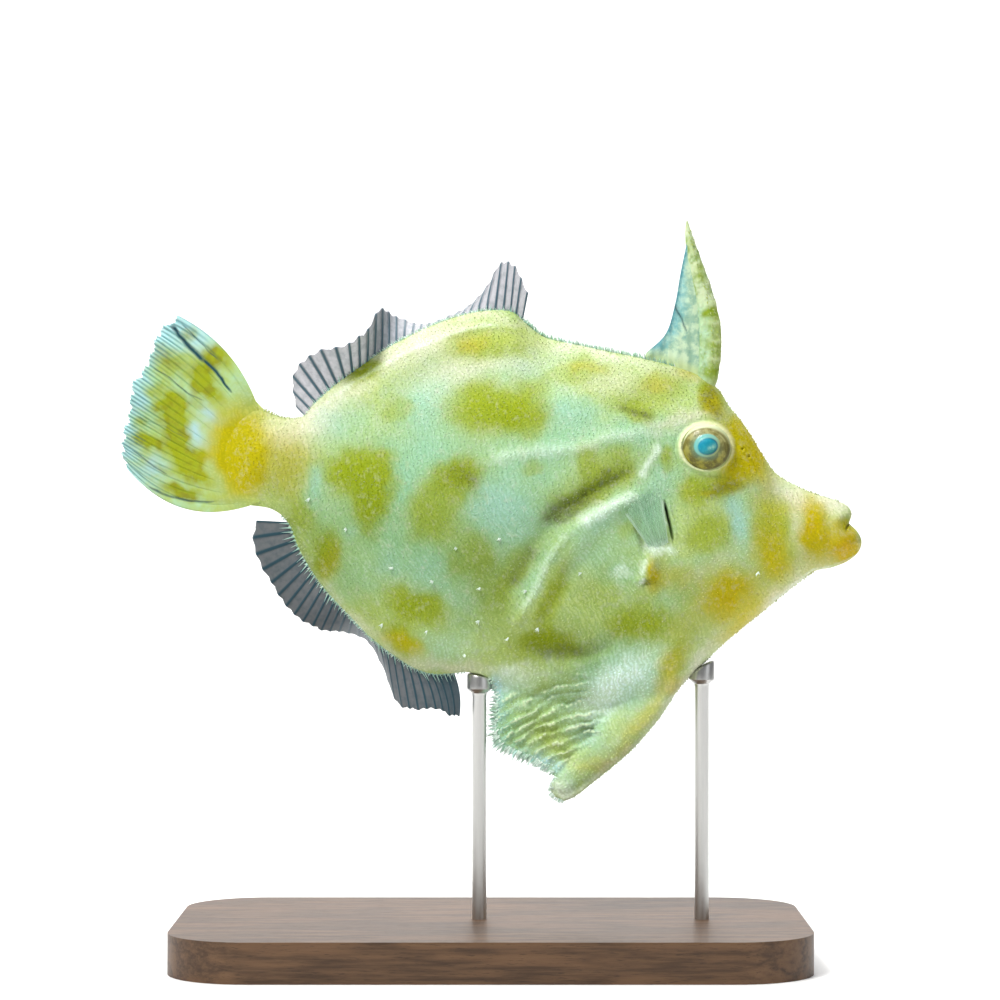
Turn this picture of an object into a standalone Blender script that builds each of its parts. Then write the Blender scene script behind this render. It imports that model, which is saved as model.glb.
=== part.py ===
"""Bristle-tail filefish, life size, held over a flat base by two short rods.

+X runs towards the snout, +Z is up, and the fish's right side faces -Y.
The origin is the middle of the stand's underside. Sizes in the tables are millimetres.
"""

import math
import random

import bmesh
import bpy
import numpy as np
from mathutils import Matrix, Vector
from mathutils.geometry import delaunay_2d_cdt

MM = 0.001
GAP = 0.3
CUTTER_REACH = 15.0
FIN_GAP = 0.42
SEAT_GAP = 0.42
RIM = 0.3
OUTLINE_STEP = 1.4
SURFACE_STEP = 2.45
EDGE_ROWS = (0.7, 1.8)
FIN_RIM = 0.45
BODY_MIDDLE = (0.0, 68.0)

# The back, from the tail fin's upper corner to the corner of the mouth, as (x, z).
BACK = [
    (-35.3, 83.7), (-34.0, 82.4), (-31.1, 81.2), (-28.1, 81.4), (-26.5, 83.3), (-22.1, 87.2),
    (-16.9, 90.8), (-10.9, 94.1), (-5.3, 96.3), (-0.1, 97.3), (3.3, 97.0), (5.2, 95.4),
    (7.9, 93.4), (14.6, 91.8), (22.7, 90.1), (27.5, 88.9), (31.8, 87.2), (34.1, 85.4),
    (35.7, 82.9), (38.0, 80.0), (40.8, 75.5), (42.4, 73.1), (44.6, 71.5), (46.9, 70.4),
    (49.3, 69.5), (52.2, 68.6), (53.5, 67.9), (54.1, 66.8), (53.7, 65.3),
]
# The lower lip, chin, throat and leading edge of the pelvic flap, down to its tip.
THROAT = [
    (53.7, 65.3), (55.0, 64.0), (55.6, 62.5), (55.1, 61.0), (53.6, 59.7), (51.2, 58.7),
    (48.5, 58.1), (46.1, 56.4), (40.4, 51.8), (34.6, 47.0), (31.4, 43.8), (28.5, 40.9),
    (25.4, 36.3), (23.2, 33.6), (20.9, 31.1), (16.0, 27.0), (12.4, 24.2), (10.9, 23.6),
]
# The stub of the pelvic fin at the flap's tip.
STUB = [(10.9, 23.6), (9.5, 24.4), (8.8, 25.7), (9.6, 27.2)]
# The flap's trailing edge, up to the belly.
FLAP_EDGE = [
    (9.6, 27.2), (8.7, 28.3), (6.7, 29.9), (3.2, 31.4), (1.4, 32.3), (0.7, 34.0), (0.7, 36.9),
    (0.9, 39.3), (0.1, 41.3), (-1.6, 42.5),
]
# The belly and the root of the anal fin, back to the tail fin's lower corner.
BELLY = [
    (-1.6, 42.5), (-3.9, 43.0), (-5.8, 42.8), (-8.0, 42.6), (-10.3, 43.0), (-12.4, 44.0),
    (-14.5, 45.4), (-18.1, 48.2), (-21.5, 51.7), (-25.1, 55.6), (-28.0, 59.9), (-29.2, 62.2),
    (-30.3, 65.1), (-31.3, 66.4), (-33.1, 67.5), (-36.1, 68.0),
]
# The end of the tail stalk, where the tail fin's rays begin.
TAIL_ROOT = [(-36.1, 68.0), (-38.2, 69.7), (-39.7, 71.9), (-40.3, 74.6), (-39.9, 77.3),
             (-38.6, 80.0), (-37.0, 82.3), (-35.3, 83.7)]
# The lower edge of the thick body, which crosses the flap's root.
KEEL = [(-36.1, 68.0), (-33.1, 67.5), (-30.3, 65.1), (-28.0, 59.9), (-25.1, 55.6), (-21.5, 51.7),
        (-18.1, 48.2), (-14.5, 45.4), (-10.3, 43.0), (-5.8, 42.6), (0.0, 41.2), (8.0, 39.3),
        (16.0, 38.6), (24.0, 39.6), (28.5, 40.9), (31.4, 43.8), (34.6, 47.0), (40.4, 51.8),
        (46.1, 56.4), (48.5, 58.1), (51.2, 58.7), (53.5, 59.7), (55.4, 61.5)]
# The greatest half-width of the body at each x.
BREADTH = [(-40.3, 1.2), (-35.3, 2.0), (-30.0, 2.8), (-22.0, 4.5), (-10.0, 6.6), (4.0, 7.9),
           (16.0, 8.2), (26.0, 7.7), (34.0, 6.9), (42.0, 5.3), (48.0, 3.9), (52.0, 3.3),
           (55.6, 2.9)]
FULLNESS = 0.66

FLAP_ROOT_HALF = 0.95
FLAP_EDGE_HALF = 0.42
FLAP_ROUNDING = 1.1
# The pelvic bone under the skin of the flap, as (x, z, half-thickness).
PELVIS = [(33.0, 50.5, 2.4), (27.0, 43.0, 2.9), (21.5, 36.5, 2.3), (15.5, 30.6, 1.5), (11.0, 26.2, 0.9)]
PELVIS_SPREAD = 1.7
# The flap thins towards its edge over the first length, and starts at the second height.
FLAP_THINNING = 9.0
FLAP_TOP = 52.0
FLAP_BLEND = 2.0
# Rows of scales on the flap: their middle, turn, pitch, bend, height and length.
FLAP_ROWS_AT = (8.5, 33.6)
FLAP_ROWS_TURN = 25.0
FLAP_ROW_PITCH = 2.05
FLAP_ROW_BEND = 0.018
FLAP_ROW_FADE = 2.0
FLAP_ROW_FROM_BONE = 1.5
FLAP_ROW_FROM_EDGE = 1.2
FLAP_ROW_HEIGHT = 0.3
FLAP_ROW_REACH = 9.5
FLAP_ROWS_SPREAD = 7.5
FRAY_STEP = 0.8
FRAY_LENGTH = 0.95
# The lips are rounder than the body; they begin at this x.
LIP_ROUNDING = 3.2
LIP_START = 50.0
LIP_BLEND = 3.0

# Swellings and hollows of the flank, as (x, z, long radius, short radius, turn in degrees, height).
MODELLING = [
    (20.0, 68.3, 5.0, 1.7, 28.0, 0.75),
    (13.2, 63.2, 6.0, 1.8, 47.0, 0.85),
    (7.8, 55.0, 6.5, 1.8, 63.0, 0.75),
    (2.5, 58.0, 8.0, 3.5, 58.0, -0.55),
    (14.5, 54.5, 7.0, 4.0, 50.0, -0.45),
    (9.5, 46.5, 6.0, 2.8, 8.0, -0.60),
    (24.0, 42.5, 6.5, 4.0, 40.0, 0.70),
    (23.7, 58.8, 1.9, 1.2, 75.0, 0.85),
    (32.3, 76.8, 7.5, 7.0, 0.0, 0.90),
    (26.5, 81.5, 7.0, 2.0, 10.0, 0.35),
    (-14.0, 88.0, 14.0, 2.0, 33.0, 0.35),
    (2.0, 92.0, 7.0, 1.6, 0.0, 0.40),
    (44.5, 63.5, 6.0, 3.5, -20.0, -0.30),
    (-6.0, 66.0, 16.0, 9.0, 10.0, 0.35),
]

EYE_AT = (31.9, 76.45)
EYE_RADIUS = 3.6
EYE_HALF_DEPTH = 1.75
EYE_RISE = 0.35
EYE_SIDES = 24
EYE_RINGS = 12
ORBIT_RADIUS = 4.25
ORBIT_SPREAD = 0.45
ORBIT_HEIGHT = 0.45
NOSTRILS = [(37.4, 76.4), (38.4, 75.3)]
NOSTRIL_RADIUS = 0.5
NOSTRIL_DEPTH = 0.45
NOSTRIL_RIM = 1.1

# Thin cuts that part the body into nodes, as lines of (x, z). The first follows the gill slit.
GILL_CUT = [(21.6, 92.5), (22.6, 86.0), (23.8, 78.0), (25.4, 69.3), (26.4, 66.0), (27.3, 62.5),
            (28.6, 56.0), (30.0, 50.5), (33.6, 43.6)]
PEDUNCLE_CUT = [(-27.9, 84.0), (-28.4, 78.0), (-29.4, 72.0), (-30.6, 63.5)]
FLAP_CUT = [(-2.6, 41.2), (1.0, 41.6), (7.4, 40.6), (14.0, 40.4), (20.5, 41.4), (26.0, 43.2),
            (30.0, 44.7), (32.7, 45.3)]
LIP_CUT = [(50.8, 71.0), (51.0, 67.0), (50.2, 64.0), (50.4, 61.0), (51.0, 56.5)]
MOUTH_CUT = [(56.0, 66.4), (53.7, 65.2), (52.0, 64.2), (50.2, 63.2)]
STUB_CUT = [(8.2, 28.6), (9.9, 27.2), (10.5, 25.2), (11.8, 22.4)]
NODE_PLACES = {
    "head": (37.0, 68.0), "torso": (-2.0, 70.0), "tail_stalk": (-35.0, 75.0), "pelvic_flap": (14.0, 34.0),
    "upper_lip": (52.6, 66.6), "lower_lip": (52.8, 61.5), "pelvic_stub": (9.8, 25.4),
}

# Half-thicknesses of a fin's membrane, of its rays at the root and of its rays at the tip.
SOFT_FIN_HALF = (0.27, 0.5, 0.3)
SOFT_FIN_ROWS = 6
TAIL_FIN_ROWS = 8
WEB_RAYS = 5
WEB_ROWS = 7
# A branched ray forks at this share of its length, its branches this share of the pitch to each side.
FORK_AT = 0.62
FORK_SPREAD = 0.16
TAIL_FIN_HALF = (0.27, 0.7, 0.34)
WEB_HALF = (0.27, 0.36, 0.3)
# Rays of the fins, as (share of the root, tip x, tip z, bow, sideways swing of the tip).
DORSAL_RAYS = 30
DORSAL = [
    (0.00, 5.5, 99.9, 0.0, -1.5), (0.07, 3.6, 103.8, 0.0, -0.5), (0.135, 1.7, 104.7, 0.0, 0.8),
    (0.205, -0.5, 101.3, 0.2, 4.6), (0.275, -3.2, 98.4, 0.2, 6.5), (0.345, -6.4, 96.8, 0.0, 7.0),
    (0.415, -9.4, 95.7, 0.0, 7.0), (0.48, -11.6, 95.6, 0.0, 6.4), (0.56, -14.7, 96.8, 0.0, 4.6),
    (0.635, -16.7, 97.5, 0.0, 0.0), (0.70, -18.7, 93.8, 0.0, -4.8), (0.765, -21.4, 92.0, 0.0, -5.0),
    (0.835, -25.7, 91.0, 0.0, -3.2), (0.90, -28.8, 89.1, 0.0, -1.0), (0.95, -29.9, 86.2, 0.0, 1.2),
    (1.00, -29.3, 82.9, 0.0, 1.2),
]
ANAL_RAYS = 28
ANAL = [
    (0.00, -4.8, 36.4, 0.6, 0.6), (0.07, -6.2, 36.5, 0.4, 0.0), (0.14, -8.0, 37.4, 0.3, -0.4),
    (0.20, -10.1, 37.4, 0.2, -0.4), (0.27, -12.5, 37.4, 0.0, 0.6), (0.33, -14.4, 38.6, 0.0, 3.0),
    (0.39, -16.2, 43.0, 0.0, 6.0), (0.45, -18.7, 47.2, 0.0, 7.2), (0.50, -20.9, 48.4, 0.0, 7.0),
    (0.57, -23.6, 48.9, 0.0, 5.4), (0.64, -26.0, 49.3, 0.0, 3.6), (0.71, -28.6, 50.7, 0.0, 1.8),
    (0.78, -30.8, 53.1, 0.0, 0.0), (0.85, -32.9, 56.3, 0.0, -1.6), (0.91, -34.7, 59.7, 0.0, -2.4),
    (0.96, -35.6, 63.0, 0.0, -2.2), (1.00, -35.0, 65.7, 0.0, -1.2),
]
TAIL_RAYS = 12
TAIL = [
    (0.00, -46.9, 96.5, -1.65, 0.5), (0.10, -49.4, 94.5, -1.05, 1.1), (0.20, -50.4, 92.3, -0.60, -0.4),
    (0.35, -52.1, 88.7, -0.30, 0.9), (0.50, -53.9, 85.2, 0.0, -0.3), (0.65, -54.5, 81.2, 0.15, 0.6),
    (0.80, -55.0, 77.7, 0.75, -0.6), (0.90, -55.3, 75.8, 1.8, 0.2), (1.00, -54.6, 73.6, 3.35, 1.0),
]
WEB = [
    (0.00, 29.7, 107.8, -1.2, 0.0), (0.20, 28.75, 103.0, -0.8, 0.2), (0.45, 28.0, 98.5, -0.2, 0.3),
    (0.75, 26.2, 93.8, 0.2, 0.2), (1.00, 23.3, 90.9, 0.1, 0.0),
]
WEB_ROOT = [(32.2, 88.0), (30.55, 88.2), (28.5, 88.95), (26.0, 89.7), (23.2, 90.35)]
PECTORAL_RAYS = 10
PECTORAL_ROWS = 6
PECTORAL_ROOT = [(26.3, 61.9), (25.0, 61.3), (23.6, 61.4)]
PECTORAL = [
    (0.0, 25.0, 69.6, 0.0, 1.3), (0.35, 22.8, 70.0, 0.0, 1.9), (0.7, 20.9, 68.9, 0.0, 1.8),
    (1.0, 19.7, 66.8, 0.0, 1.2),
]
PECTORAL_LIFT = 0.35

# The first dorsal spine, from its root to its tip, as (x, z, half-width).
SPINE = [(32.0, 85.2, 1.3), (32.5, 87.3, 1.5), (32.8, 90.2, 1.6), (32.9, 93.5, 1.6), (32.6, 96.5, 1.5),
         (31.9, 100.0, 1.3), (31.0, 103.2, 1.05), (30.1, 106.4, 0.8), (29.6, 108.8, 0.5), (29.4, 110.7, 0.12)]
SPINE_FLATNESS = 0.72
SPINE_SIDES = 12
BARB_ROWS = 11
BARB_START = 3.5
BARB_PITCH = 1.65
BARB_LENGTH = 1.0
BARB_RADIUS = 0.32
BARB_TURN = 140.0

BASE_LENGTH = 94.0
BASE_WIDTH = 54.0
BASE_HEIGHT = 6.0
BASE_CORNER = 12.0
BASE_CORNER_STEPS = 6
BASE_EDGE = 1.2
ROD_RADIUS = 1.1
SEAT_RADIUS = 1.9
SEAT_HEIGHT = 4.2
RODS = {"stand_rod_rear": (-1.75, 44.2), "stand_rod_front": (31.6, 45.6)}

COLOURS = {
    "skin": ((0.62, 0.72, 0.42), 0.55), "tail_fin": ((0.60, 0.70, 0.40), 0.5),
    "soft_fin": ((0.35, 0.43, 0.47), 0.45), "spine": ((0.60, 0.66, 0.36), 0.5),
    "eye": ((0.10, 0.55, 0.68), 0.12), "wood": ((0.16, 0.09, 0.05), 0.4),
    "steel": ((0.62, 0.62, 0.60), 0.3),
}
METALS = {"steel"}


def smooth_line(points, spacing):
    """Even samples of a centripetal Catmull-Rom line through the points."""
    p = np.array(points, float)
    p = np.vstack([2 * p[0] - p[1], p, 2 * p[-1] - p[-2]])
    dense = []
    for a, b, c, d in zip(p, p[1:], p[2:], p[3:]):
        steps = [np.linalg.norm(e - s) ** 0.5 for s, e in ((a, b), (b, c), (c, d))]
        k0, k1, k2, k3 = np.cumsum([0.0, *steps])
        t = np.linspace(k1, k2, 24, endpoint=False)[:, None]
        ab = ((k1 - t) * a + (t - k0) * b) / (k1 - k0)
        bc = ((k2 - t) * b + (t - k1) * c) / (k2 - k1)
        cd = ((k3 - t) * c + (t - k2) * d) / (k3 - k2)
        abc = ((k2 - t) * ab + (t - k0) * bc) / (k2 - k0)
        bcd = ((k3 - t) * bc + (t - k1) * cd) / (k3 - k1)
        dense.append(((k2 - t) * abc + (t - k1) * bcd) / (k2 - k1))
    dense = np.vstack([*dense, p[-2:-1]])
    along = np.concatenate([[0.0], np.cumsum(np.linalg.norm(np.diff(dense, axis=0), axis=1))])
    wanted = np.linspace(0, along[-1], max(2, round(along[-1] / spacing) + 1))
    return np.column_stack([np.interp(wanted, along, dense[:, k]) for k in range(dense.shape[1])])


def height_at(points):
    """A function of x that follows the smooth line through the points."""
    line = smooth_line(points, 0.2)
    line = line[np.argsort(line[:, 0])]
    return lambda x: np.interp(x, line[:, 0], line[:, 1])


back_at = height_at(BACK[:-1])
keel_at = height_at(KEEL)
breadth_at = height_at(BREADTH)


def outward(line):
    """Unit normals of an open line, to the left of its direction."""
    run = np.gradient(line, axis=0)
    run /= np.linalg.norm(run, axis=1)[:, None]
    return np.column_stack([-run[:, 1], run[:, 0]])


def frayed(line):
    """A line with teeth of uneven length on its outer side."""
    draw = random.Random(5)
    normals = outward(line)
    teeth = [(k % 2) * FRAY_LENGTH * draw.uniform(0.5, 1.0) for k in range(len(line))]
    return line - normals * np.array(teeth)[:, None]


def body_outline(spacing, teeth=False):
    """The closed side view of the whole body, flap and lips, without its fins."""
    strokes = [BACK, THROAT, STUB, FLAP_EDGE, BELLY, TAIL_ROOT]
    lines = [smooth_line(stroke, spacing) for stroke in strokes]
    if teeth:
        lines[3] = frayed(smooth_line(FLAP_EDGE, FRAY_STEP))
    return np.vstack([line[:-1] for line in lines])


def near_line(points, line, closed=True):
    """Each point's distance to a line, and its share of the way along it."""
    ends = np.roll(line, -1, axis=0) if closed else line[1:]
    starts = line if closed else line[:-1]
    run = ends - starts
    length = np.linalg.norm(run, axis=1)
    passed = np.concatenate([[0.0], np.cumsum(length)[:-1]])
    best = np.full(len(points), np.inf)
    share = np.zeros(len(points))
    for start, vector, size, before in zip(starts, run, length, passed):
        t = np.clip((points - start) @ vector / size**2, 0, 1)
        away = np.linalg.norm(points - start - t[:, None] * vector, axis=1)
        closer = away < best
        best[closer] = away[closer]
        share[closer] = (before + t[closer] * size) / length.sum()
    return best, share


def inside(points, loop):
    """Which points lie in a closed loop."""
    x, z = points[:, :1], points[:, 1:]
    ax, az = loop[:, 0], loop[:, 1]
    bx, bz = np.roll(ax, -1), np.roll(az, -1)
    level = np.where(bz == az, 1e-9, bz - az)
    crossed = ((az > z) != (bz > z)) & (x < (bx - ax) * (z - az) / level + ax)
    return crossed.sum(axis=1) % 2 == 1


FINE_OUTLINE = body_outline(0.5)
PELVIS_LINE = smooth_line(PELVIS, 0.5)
ROOT_LINES = [smooth_line(BACK[3:12], 0.5), smooth_line(BELLY[1:13], 0.5), smooth_line(TAIL_ROOT, 0.5)]


def rounded(distance, radius):
    """From 0 on an edge to 1 at the radius, along a quarter circle."""
    return np.sqrt(1 - (1 - np.clip(distance / radius, 0, 1)) ** 2)


def thick_body(x, z):
    """Half-width of the body without its flap."""
    top = back_at(x)
    keel = keel_at(x)
    middle = np.clip(2 * (z - keel) / np.maximum(top - keel, 0.1) - 1, -1, 1)
    return breadth_at(x) * (1 - middle**2) ** FULLNESS


def flap_sheet(points, edge):
    """Half-width of the flap, with the pelvic bone in its leading part."""
    from_bone, share = near_line(points, PELVIS_LINE[:, :2], closed=False)
    bone = np.interp(share, np.linspace(0, 1, len(PELVIS_LINE)), PELVIS_LINE[:, 2])
    ridge = bone * np.sqrt(np.clip(1 - (from_bone / (PELVIS_SPREAD * bone)) ** 2, 0, 1))
    thin = np.clip(edge / FLAP_THINNING, 0, 1)
    sheet = FLAP_EDGE_HALF + (FLAP_ROOT_HALF - FLAP_EDGE_HALF) * thin
    in_flap = 1 / (1 + np.exp((points[:, 1] - FLAP_TOP) / FLAP_BLEND))
    return (sheet**3 + ridge**3) ** (1 / 3) * rounded(edge, FLAP_ROUNDING) * in_flap


def flap_rows(points):
    """Place along and across the rows of scales on the flap, with the rows' bend taken out."""
    turn = math.radians(FLAP_ROWS_TURN)
    x, z = (points - FLAP_ROWS_AT).T
    along = math.cos(turn) * x + math.sin(turn) * z
    across = math.cos(turn) * z - math.sin(turn) * x
    return along, across + FLAP_ROW_BEND * along**2


def scale_rows(points, edge):
    """Height of the rows of scales on the flap, which fade towards the pelvic bone and the belly."""
    along, across = flap_rows(points)
    from_bone, _ = near_line(points, PELVIS_LINE[:, :2], closed=False)
    here = np.clip((FLAP_ROW_REACH - np.abs(along)) / FLAP_ROW_FADE, 0, 1)
    here *= np.clip((from_bone - FLAP_ROW_FROM_BONE) / FLAP_ROW_FADE, 0, 1)
    here *= np.clip((FLAP_ROWS_SPREAD - np.abs(across)) / FLAP_ROW_FADE, 0, 1)
    here *= np.clip(edge / FLAP_ROW_FROM_EDGE, 0, 1)
    return here * FLAP_ROW_HEIGHT * np.cos(2 * math.pi * across / FLAP_ROW_PITCH)


def modelling(x, z):
    """Height of the swellings and hollows of the flank."""
    total = np.zeros_like(x)
    for cx, cz, long, short, turn, height in MODELLING:
        c, s = math.cos(math.radians(turn)), math.sin(math.radians(turn))
        along = (c * (x - cx) + s * (z - cz)) / long
        across = (c * (z - cz) - s * (x - cx)) / short
        total += height * np.exp(-(along**2) - across**2)
    return total


def eye_base():
    """Half-width of the head where the eye sits, without the orbit's rim."""
    x, z = np.array([EYE_AT[0]]), np.array([EYE_AT[1]])
    return float((thick_body(x, z) + modelling(x, z))[0])


def half_width(points):
    """Half-width of the body at points of its side view."""
    x, z = points[:, 0], points[:, 1]
    edge, _ = near_line(points, FINE_OUTLINE)
    core = thick_body(x, z)
    flap = flap_sheet(points, edge)
    width = (core**4 + flap**4) ** 0.25
    width += modelling(x, z) * np.clip(core / 2.5, 0, 1) + scale_rows(points, edge)
    lips = np.clip((x - LIP_START) / LIP_BLEND, 0, 1)
    width *= 1 - lips + lips * rounded(edge, LIP_ROUNDING)
    to_root = np.min([near_line(points, line, closed=False)[0] for line in ROOT_LINES], axis=0)
    rim = RIM + (FIN_RIM - RIM) * np.clip(1.5 - to_root, 0, 1)
    width = np.maximum(width, rim)
    from_eye = np.hypot(x - EYE_AT[0], z - EYE_AT[1])
    width += ORBIT_HEIGHT * np.exp(-(((from_eye - ORBIT_RADIUS) / ORBIT_SPREAD) ** 2))
    reach = np.clip(from_eye / (EYE_RADIUS + GAP), 0, 1)
    bowl = eye_base() + EYE_RISE - (EYE_HALF_DEPTH + SEAT_GAP) * np.sqrt(1 - reach**2)
    width = np.where(from_eye < EYE_RADIUS + GAP, np.minimum(width, bowl), width)
    for cx, cz in NOSTRILS:
        away = np.hypot(x - cx, z - cz) / NOSTRIL_RADIUS
        width -= NOSTRIL_DEPTH * np.exp(-(away**2))
    return width


def ring(centre, radius, count):
    """Points on a circle of the side view."""
    turn = np.linspace(0, 2 * math.pi, count, endpoint=False)
    return np.column_stack([centre[0] + radius * np.cos(turn), centre[1] + radius * np.sin(turn)])


def row_points(loop):
    """Points on the crests of the flap's rows of scales and in the troughs between them."""
    turn = math.radians(FLAP_ROWS_TURN)
    found = []
    for k in range(-8, 9):
        across = k * FLAP_ROW_PITCH / 2
        for step in range(-5, 6):
            along = (step + (k % 2) / 2) * FLAP_ROW_PITCH * 0.9
            up = across - FLAP_ROW_BEND * along**2
            x = math.cos(turn) * along - math.sin(turn) * up
            z = math.sin(turn) * along + math.cos(turn) * up
            if abs(along) < FLAP_ROW_REACH and abs(across) < FLAP_ROWS_SPREAD:
                found.append((FLAP_ROWS_AT[0] + x, FLAP_ROWS_AT[1] + z))
    found = np.array(found)
    far, _ = near_line(found, loop)
    return found[inside(found, loop) & (far > 1.2)]


def mesh_points(loop, spacing):
    """Points inside the outline: rows near its edge, rings round the eye, and an even grid."""
    plain = body_outline(OUTLINE_STEP)
    normals = outward(np.vstack([plain[-1:], plain, plain[:1]]))[1:-1]
    rows = []
    for depth in EDGE_ROWS:
        row = plain + normals * depth
        flipped = plain - normals * depth
        row = np.where(inside(row, loop)[:, None], row, flipped)
        far, _ = near_line(row, loop)
        rows.append(row[inside(row, loop) & (far > 0.85 * depth)])
    low, high = loop.min(axis=0), loop.max(axis=0)
    xs = np.arange(low[0], high[0], spacing)
    zs = np.arange(low[1], high[1], spacing * 0.866)
    grid = np.array([(x + (k % 2) * spacing / 2, z) for k, z in enumerate(zs) for x in xs])
    far, _ = near_line(grid, loop)
    grid = grid[inside(grid, loop) & (far > EDGE_ROWS[-1] + 0.55 * spacing)]
    along, across = flap_rows(grid)
    grid = grid[(np.abs(along) > FLAP_ROW_REACH) | (np.abs(across) > FLAP_ROWS_SPREAD)]
    points = np.vstack([*rows, grid, row_points(loop)])
    around_eye = np.hypot(points[:, 0] - EYE_AT[0], points[:, 1] - EYE_AT[1])
    points = points[around_eye > ORBIT_RADIUS + 2.1 * ORBIT_SPREAD]
    socket = EYE_RADIUS + GAP
    radii = [socket + 1.2, ORBIT_RADIUS]
    radii += [socket * math.sin(math.radians(90 - k * 180 / EYE_RINGS)) for k in range(EYE_RINGS // 2)]
    rings = [ring(EYE_AT, radius, EYE_SIDES) for radius in radii]
    for place in NOSTRILS:
        points = points[np.hypot(points[:, 0] - place[0], points[:, 1] - place[1]) > NOSTRIL_RIM]
    pits = [ring(place, 1.2 * NOSTRIL_RADIUS, 6) for place in NOSTRILS]
    return np.vstack([points, *rings, *pits, [EYE_AT], NOSTRILS])


def new_object(name, mesh, colour, collection):
    """Links a mesh under its node's name, with its material."""
    obj = bpy.data.objects.new(name, mesh)
    collection.objects.link(obj)
    if colour:
        mesh.materials.append(material(colour))
    return obj


def mesh_from(name, points, faces):
    """A mesh from points in millimetres, with its faces turned outwards."""
    mesh = bpy.data.meshes.new(name)
    mesh.from_pydata([tuple(p) for p in np.array(points) * MM], [], faces)
    shell = bmesh.new()
    shell.from_mesh(mesh)
    bmesh.ops.recalc_face_normals(shell, faces=shell.faces)
    shell.to_mesh(mesh)
    shell.free()
    return mesh


def material(name):
    """The Principled material of a colour in the table."""
    found = bpy.data.materials.get(name)
    if found:
        return found
    made = bpy.data.materials.new(name)
    made.use_nodes = True
    colour, roughness = COLOURS[name]
    shader = made.node_tree.nodes["Principled BSDF"]
    shader.inputs["Base Color"].default_value = (*colour, 1)
    shader.inputs["Roughness"].default_value = roughness
    shader.inputs["Metallic"].default_value = float(name in METALS)
    return made


def lens(name, loop, spacing, grow, collection):
    """A closed solid over a loop of the side view, as wide as the body, grown by some millimetres."""
    within = mesh_points(loop, spacing)
    flat = [Vector(p) for p in np.vstack([loop, within])]
    border = list(range(len(loop)))
    found = delaunay_2d_cdt(flat, [], [border], 1, 1e-5)
    points = np.array([tuple(p) for p in found[0]])
    count = len(points)
    width = half_width(points) + grow
    right = np.column_stack([points[:, 0], -width, points[:, 1]])
    left = np.column_stack([points[:, 0], width, points[:, 1]])
    faces = [tuple(f) for f in found[2]]
    faces += [tuple(count + k for k in reversed(f)) for f in found[2]]
    used = {edge for face in found[2] for edge in zip(face, (*face[1:], face[0]))}
    rim = [(a, b) for a, b in used if (b, a) not in used]
    faces += [(b, a, count + a, count + b) for a, b in rim]
    return new_object(name, mesh_from(name, np.vstack([right, left]), faces), "skin", collection)


def ribbon_cutter(name, points, collection):
    """A thin upright wall along a line of the side view, as thick as the gap between nodes."""
    line = smooth_line(points, 1.0)
    offset = outward(line) * GAP / 2
    loop = np.vstack([line + offset, (line - offset)[::-1]])
    count = len(loop)
    near = np.column_stack([loop[:, 0], np.full(count, -CUTTER_REACH), loop[:, 1]])
    far = near * (1, -1, 1)
    faces = [(k, (k + 1) % count, count + (k + 1) % count, count + k) for k in range(count)]
    half = count // 2
    for k in range(half - 1):
        quad = (k, k + 1, count - 2 - k, count - 1 - k)
        faces.append(quad)
        faces.append(tuple(count + i for i in reversed(quad)))
    cutter = new_object(name, mesh_from(name, np.vstack([near, far]), faces), None, collection)
    cutter.hide_render = True
    cutter.display_type = "WIRE"
    return cutter


def apply_modifiers(obj):
    """Replaces an object's mesh by its evaluated mesh."""
    graph = bpy.context.evaluated_depsgraph_get()
    mesh = bpy.data.meshes.new_from_object(obj.evaluated_get(graph))
    obj.modifiers.clear()
    obj.data = mesh


def boolean(obj, others, operation):
    """Cuts or joins closed mesh objects in one Boolean, and removes them."""
    tools = bpy.data.collections.new(obj.name + "_tools")
    for other in others:
        tools.objects.link(other)
    step = obj.modifiers.new(operation.lower(), "BOOLEAN")
    step.operation = operation
    step.operand_type = "COLLECTION"
    step.collection = tools
    step.solver = "MANIFOLD"
    apply_modifiers(obj)
    for other in others:
        bpy.data.objects.remove(other)
    bpy.data.collections.remove(tools)


def largest_piece(obj):
    """Keeps the closed surface of a mesh that has most faces."""
    shell = bmesh.new()
    shell.from_mesh(obj.data)
    pieces = islands(shell)
    keep = max(pieces, key=len)
    for piece in pieces:
        if piece is not keep:
            bmesh.ops.delete(shell, geom=list({v for f in piece for v in f.verts}), context="VERTS")
    shell.to_mesh(obj.data)
    shell.free()


def islands(shell):
    """The faces of a mesh, grouped by closed surface."""
    left = set(shell.faces)
    found = []
    while left:
        stack = [left.pop()]
        piece = list(stack)
        while stack:
            for edge in stack.pop().edges:
                for face in edge.link_faces:
                    if face in left:
                        left.remove(face)
                        stack.append(face)
                        piece.append(face)
        found.append(piece)
    return found


def part_body(body, collection):
    """Splits the cut body into one object for each named place."""
    shell = bmesh.new()
    shell.from_mesh(body.data)
    middles = []
    for piece in islands(shell):
        centre = sum((f.calc_center_median() for f in piece), Vector()) / len(piece)
        middles.append((piece, centre / MM))
    for name, (x, z) in NODE_PLACES.items():
        piece, _ = min(middles, key=lambda m: math.hypot(m[1].x - x, m[1].z - z))
        part = bmesh.new()
        copies = {v: part.verts.new(v.co) for v in {v for f in piece for v in f.verts}}
        for face in piece:
            part.faces.new([copies[v] for v in face.verts])
        mesh = bpy.data.meshes.new(name)
        part.to_mesh(mesh)
        part.free()
        new_object(name, mesh, "skin", collection)
    shell.free()
    bpy.data.objects.remove(body)


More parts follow.
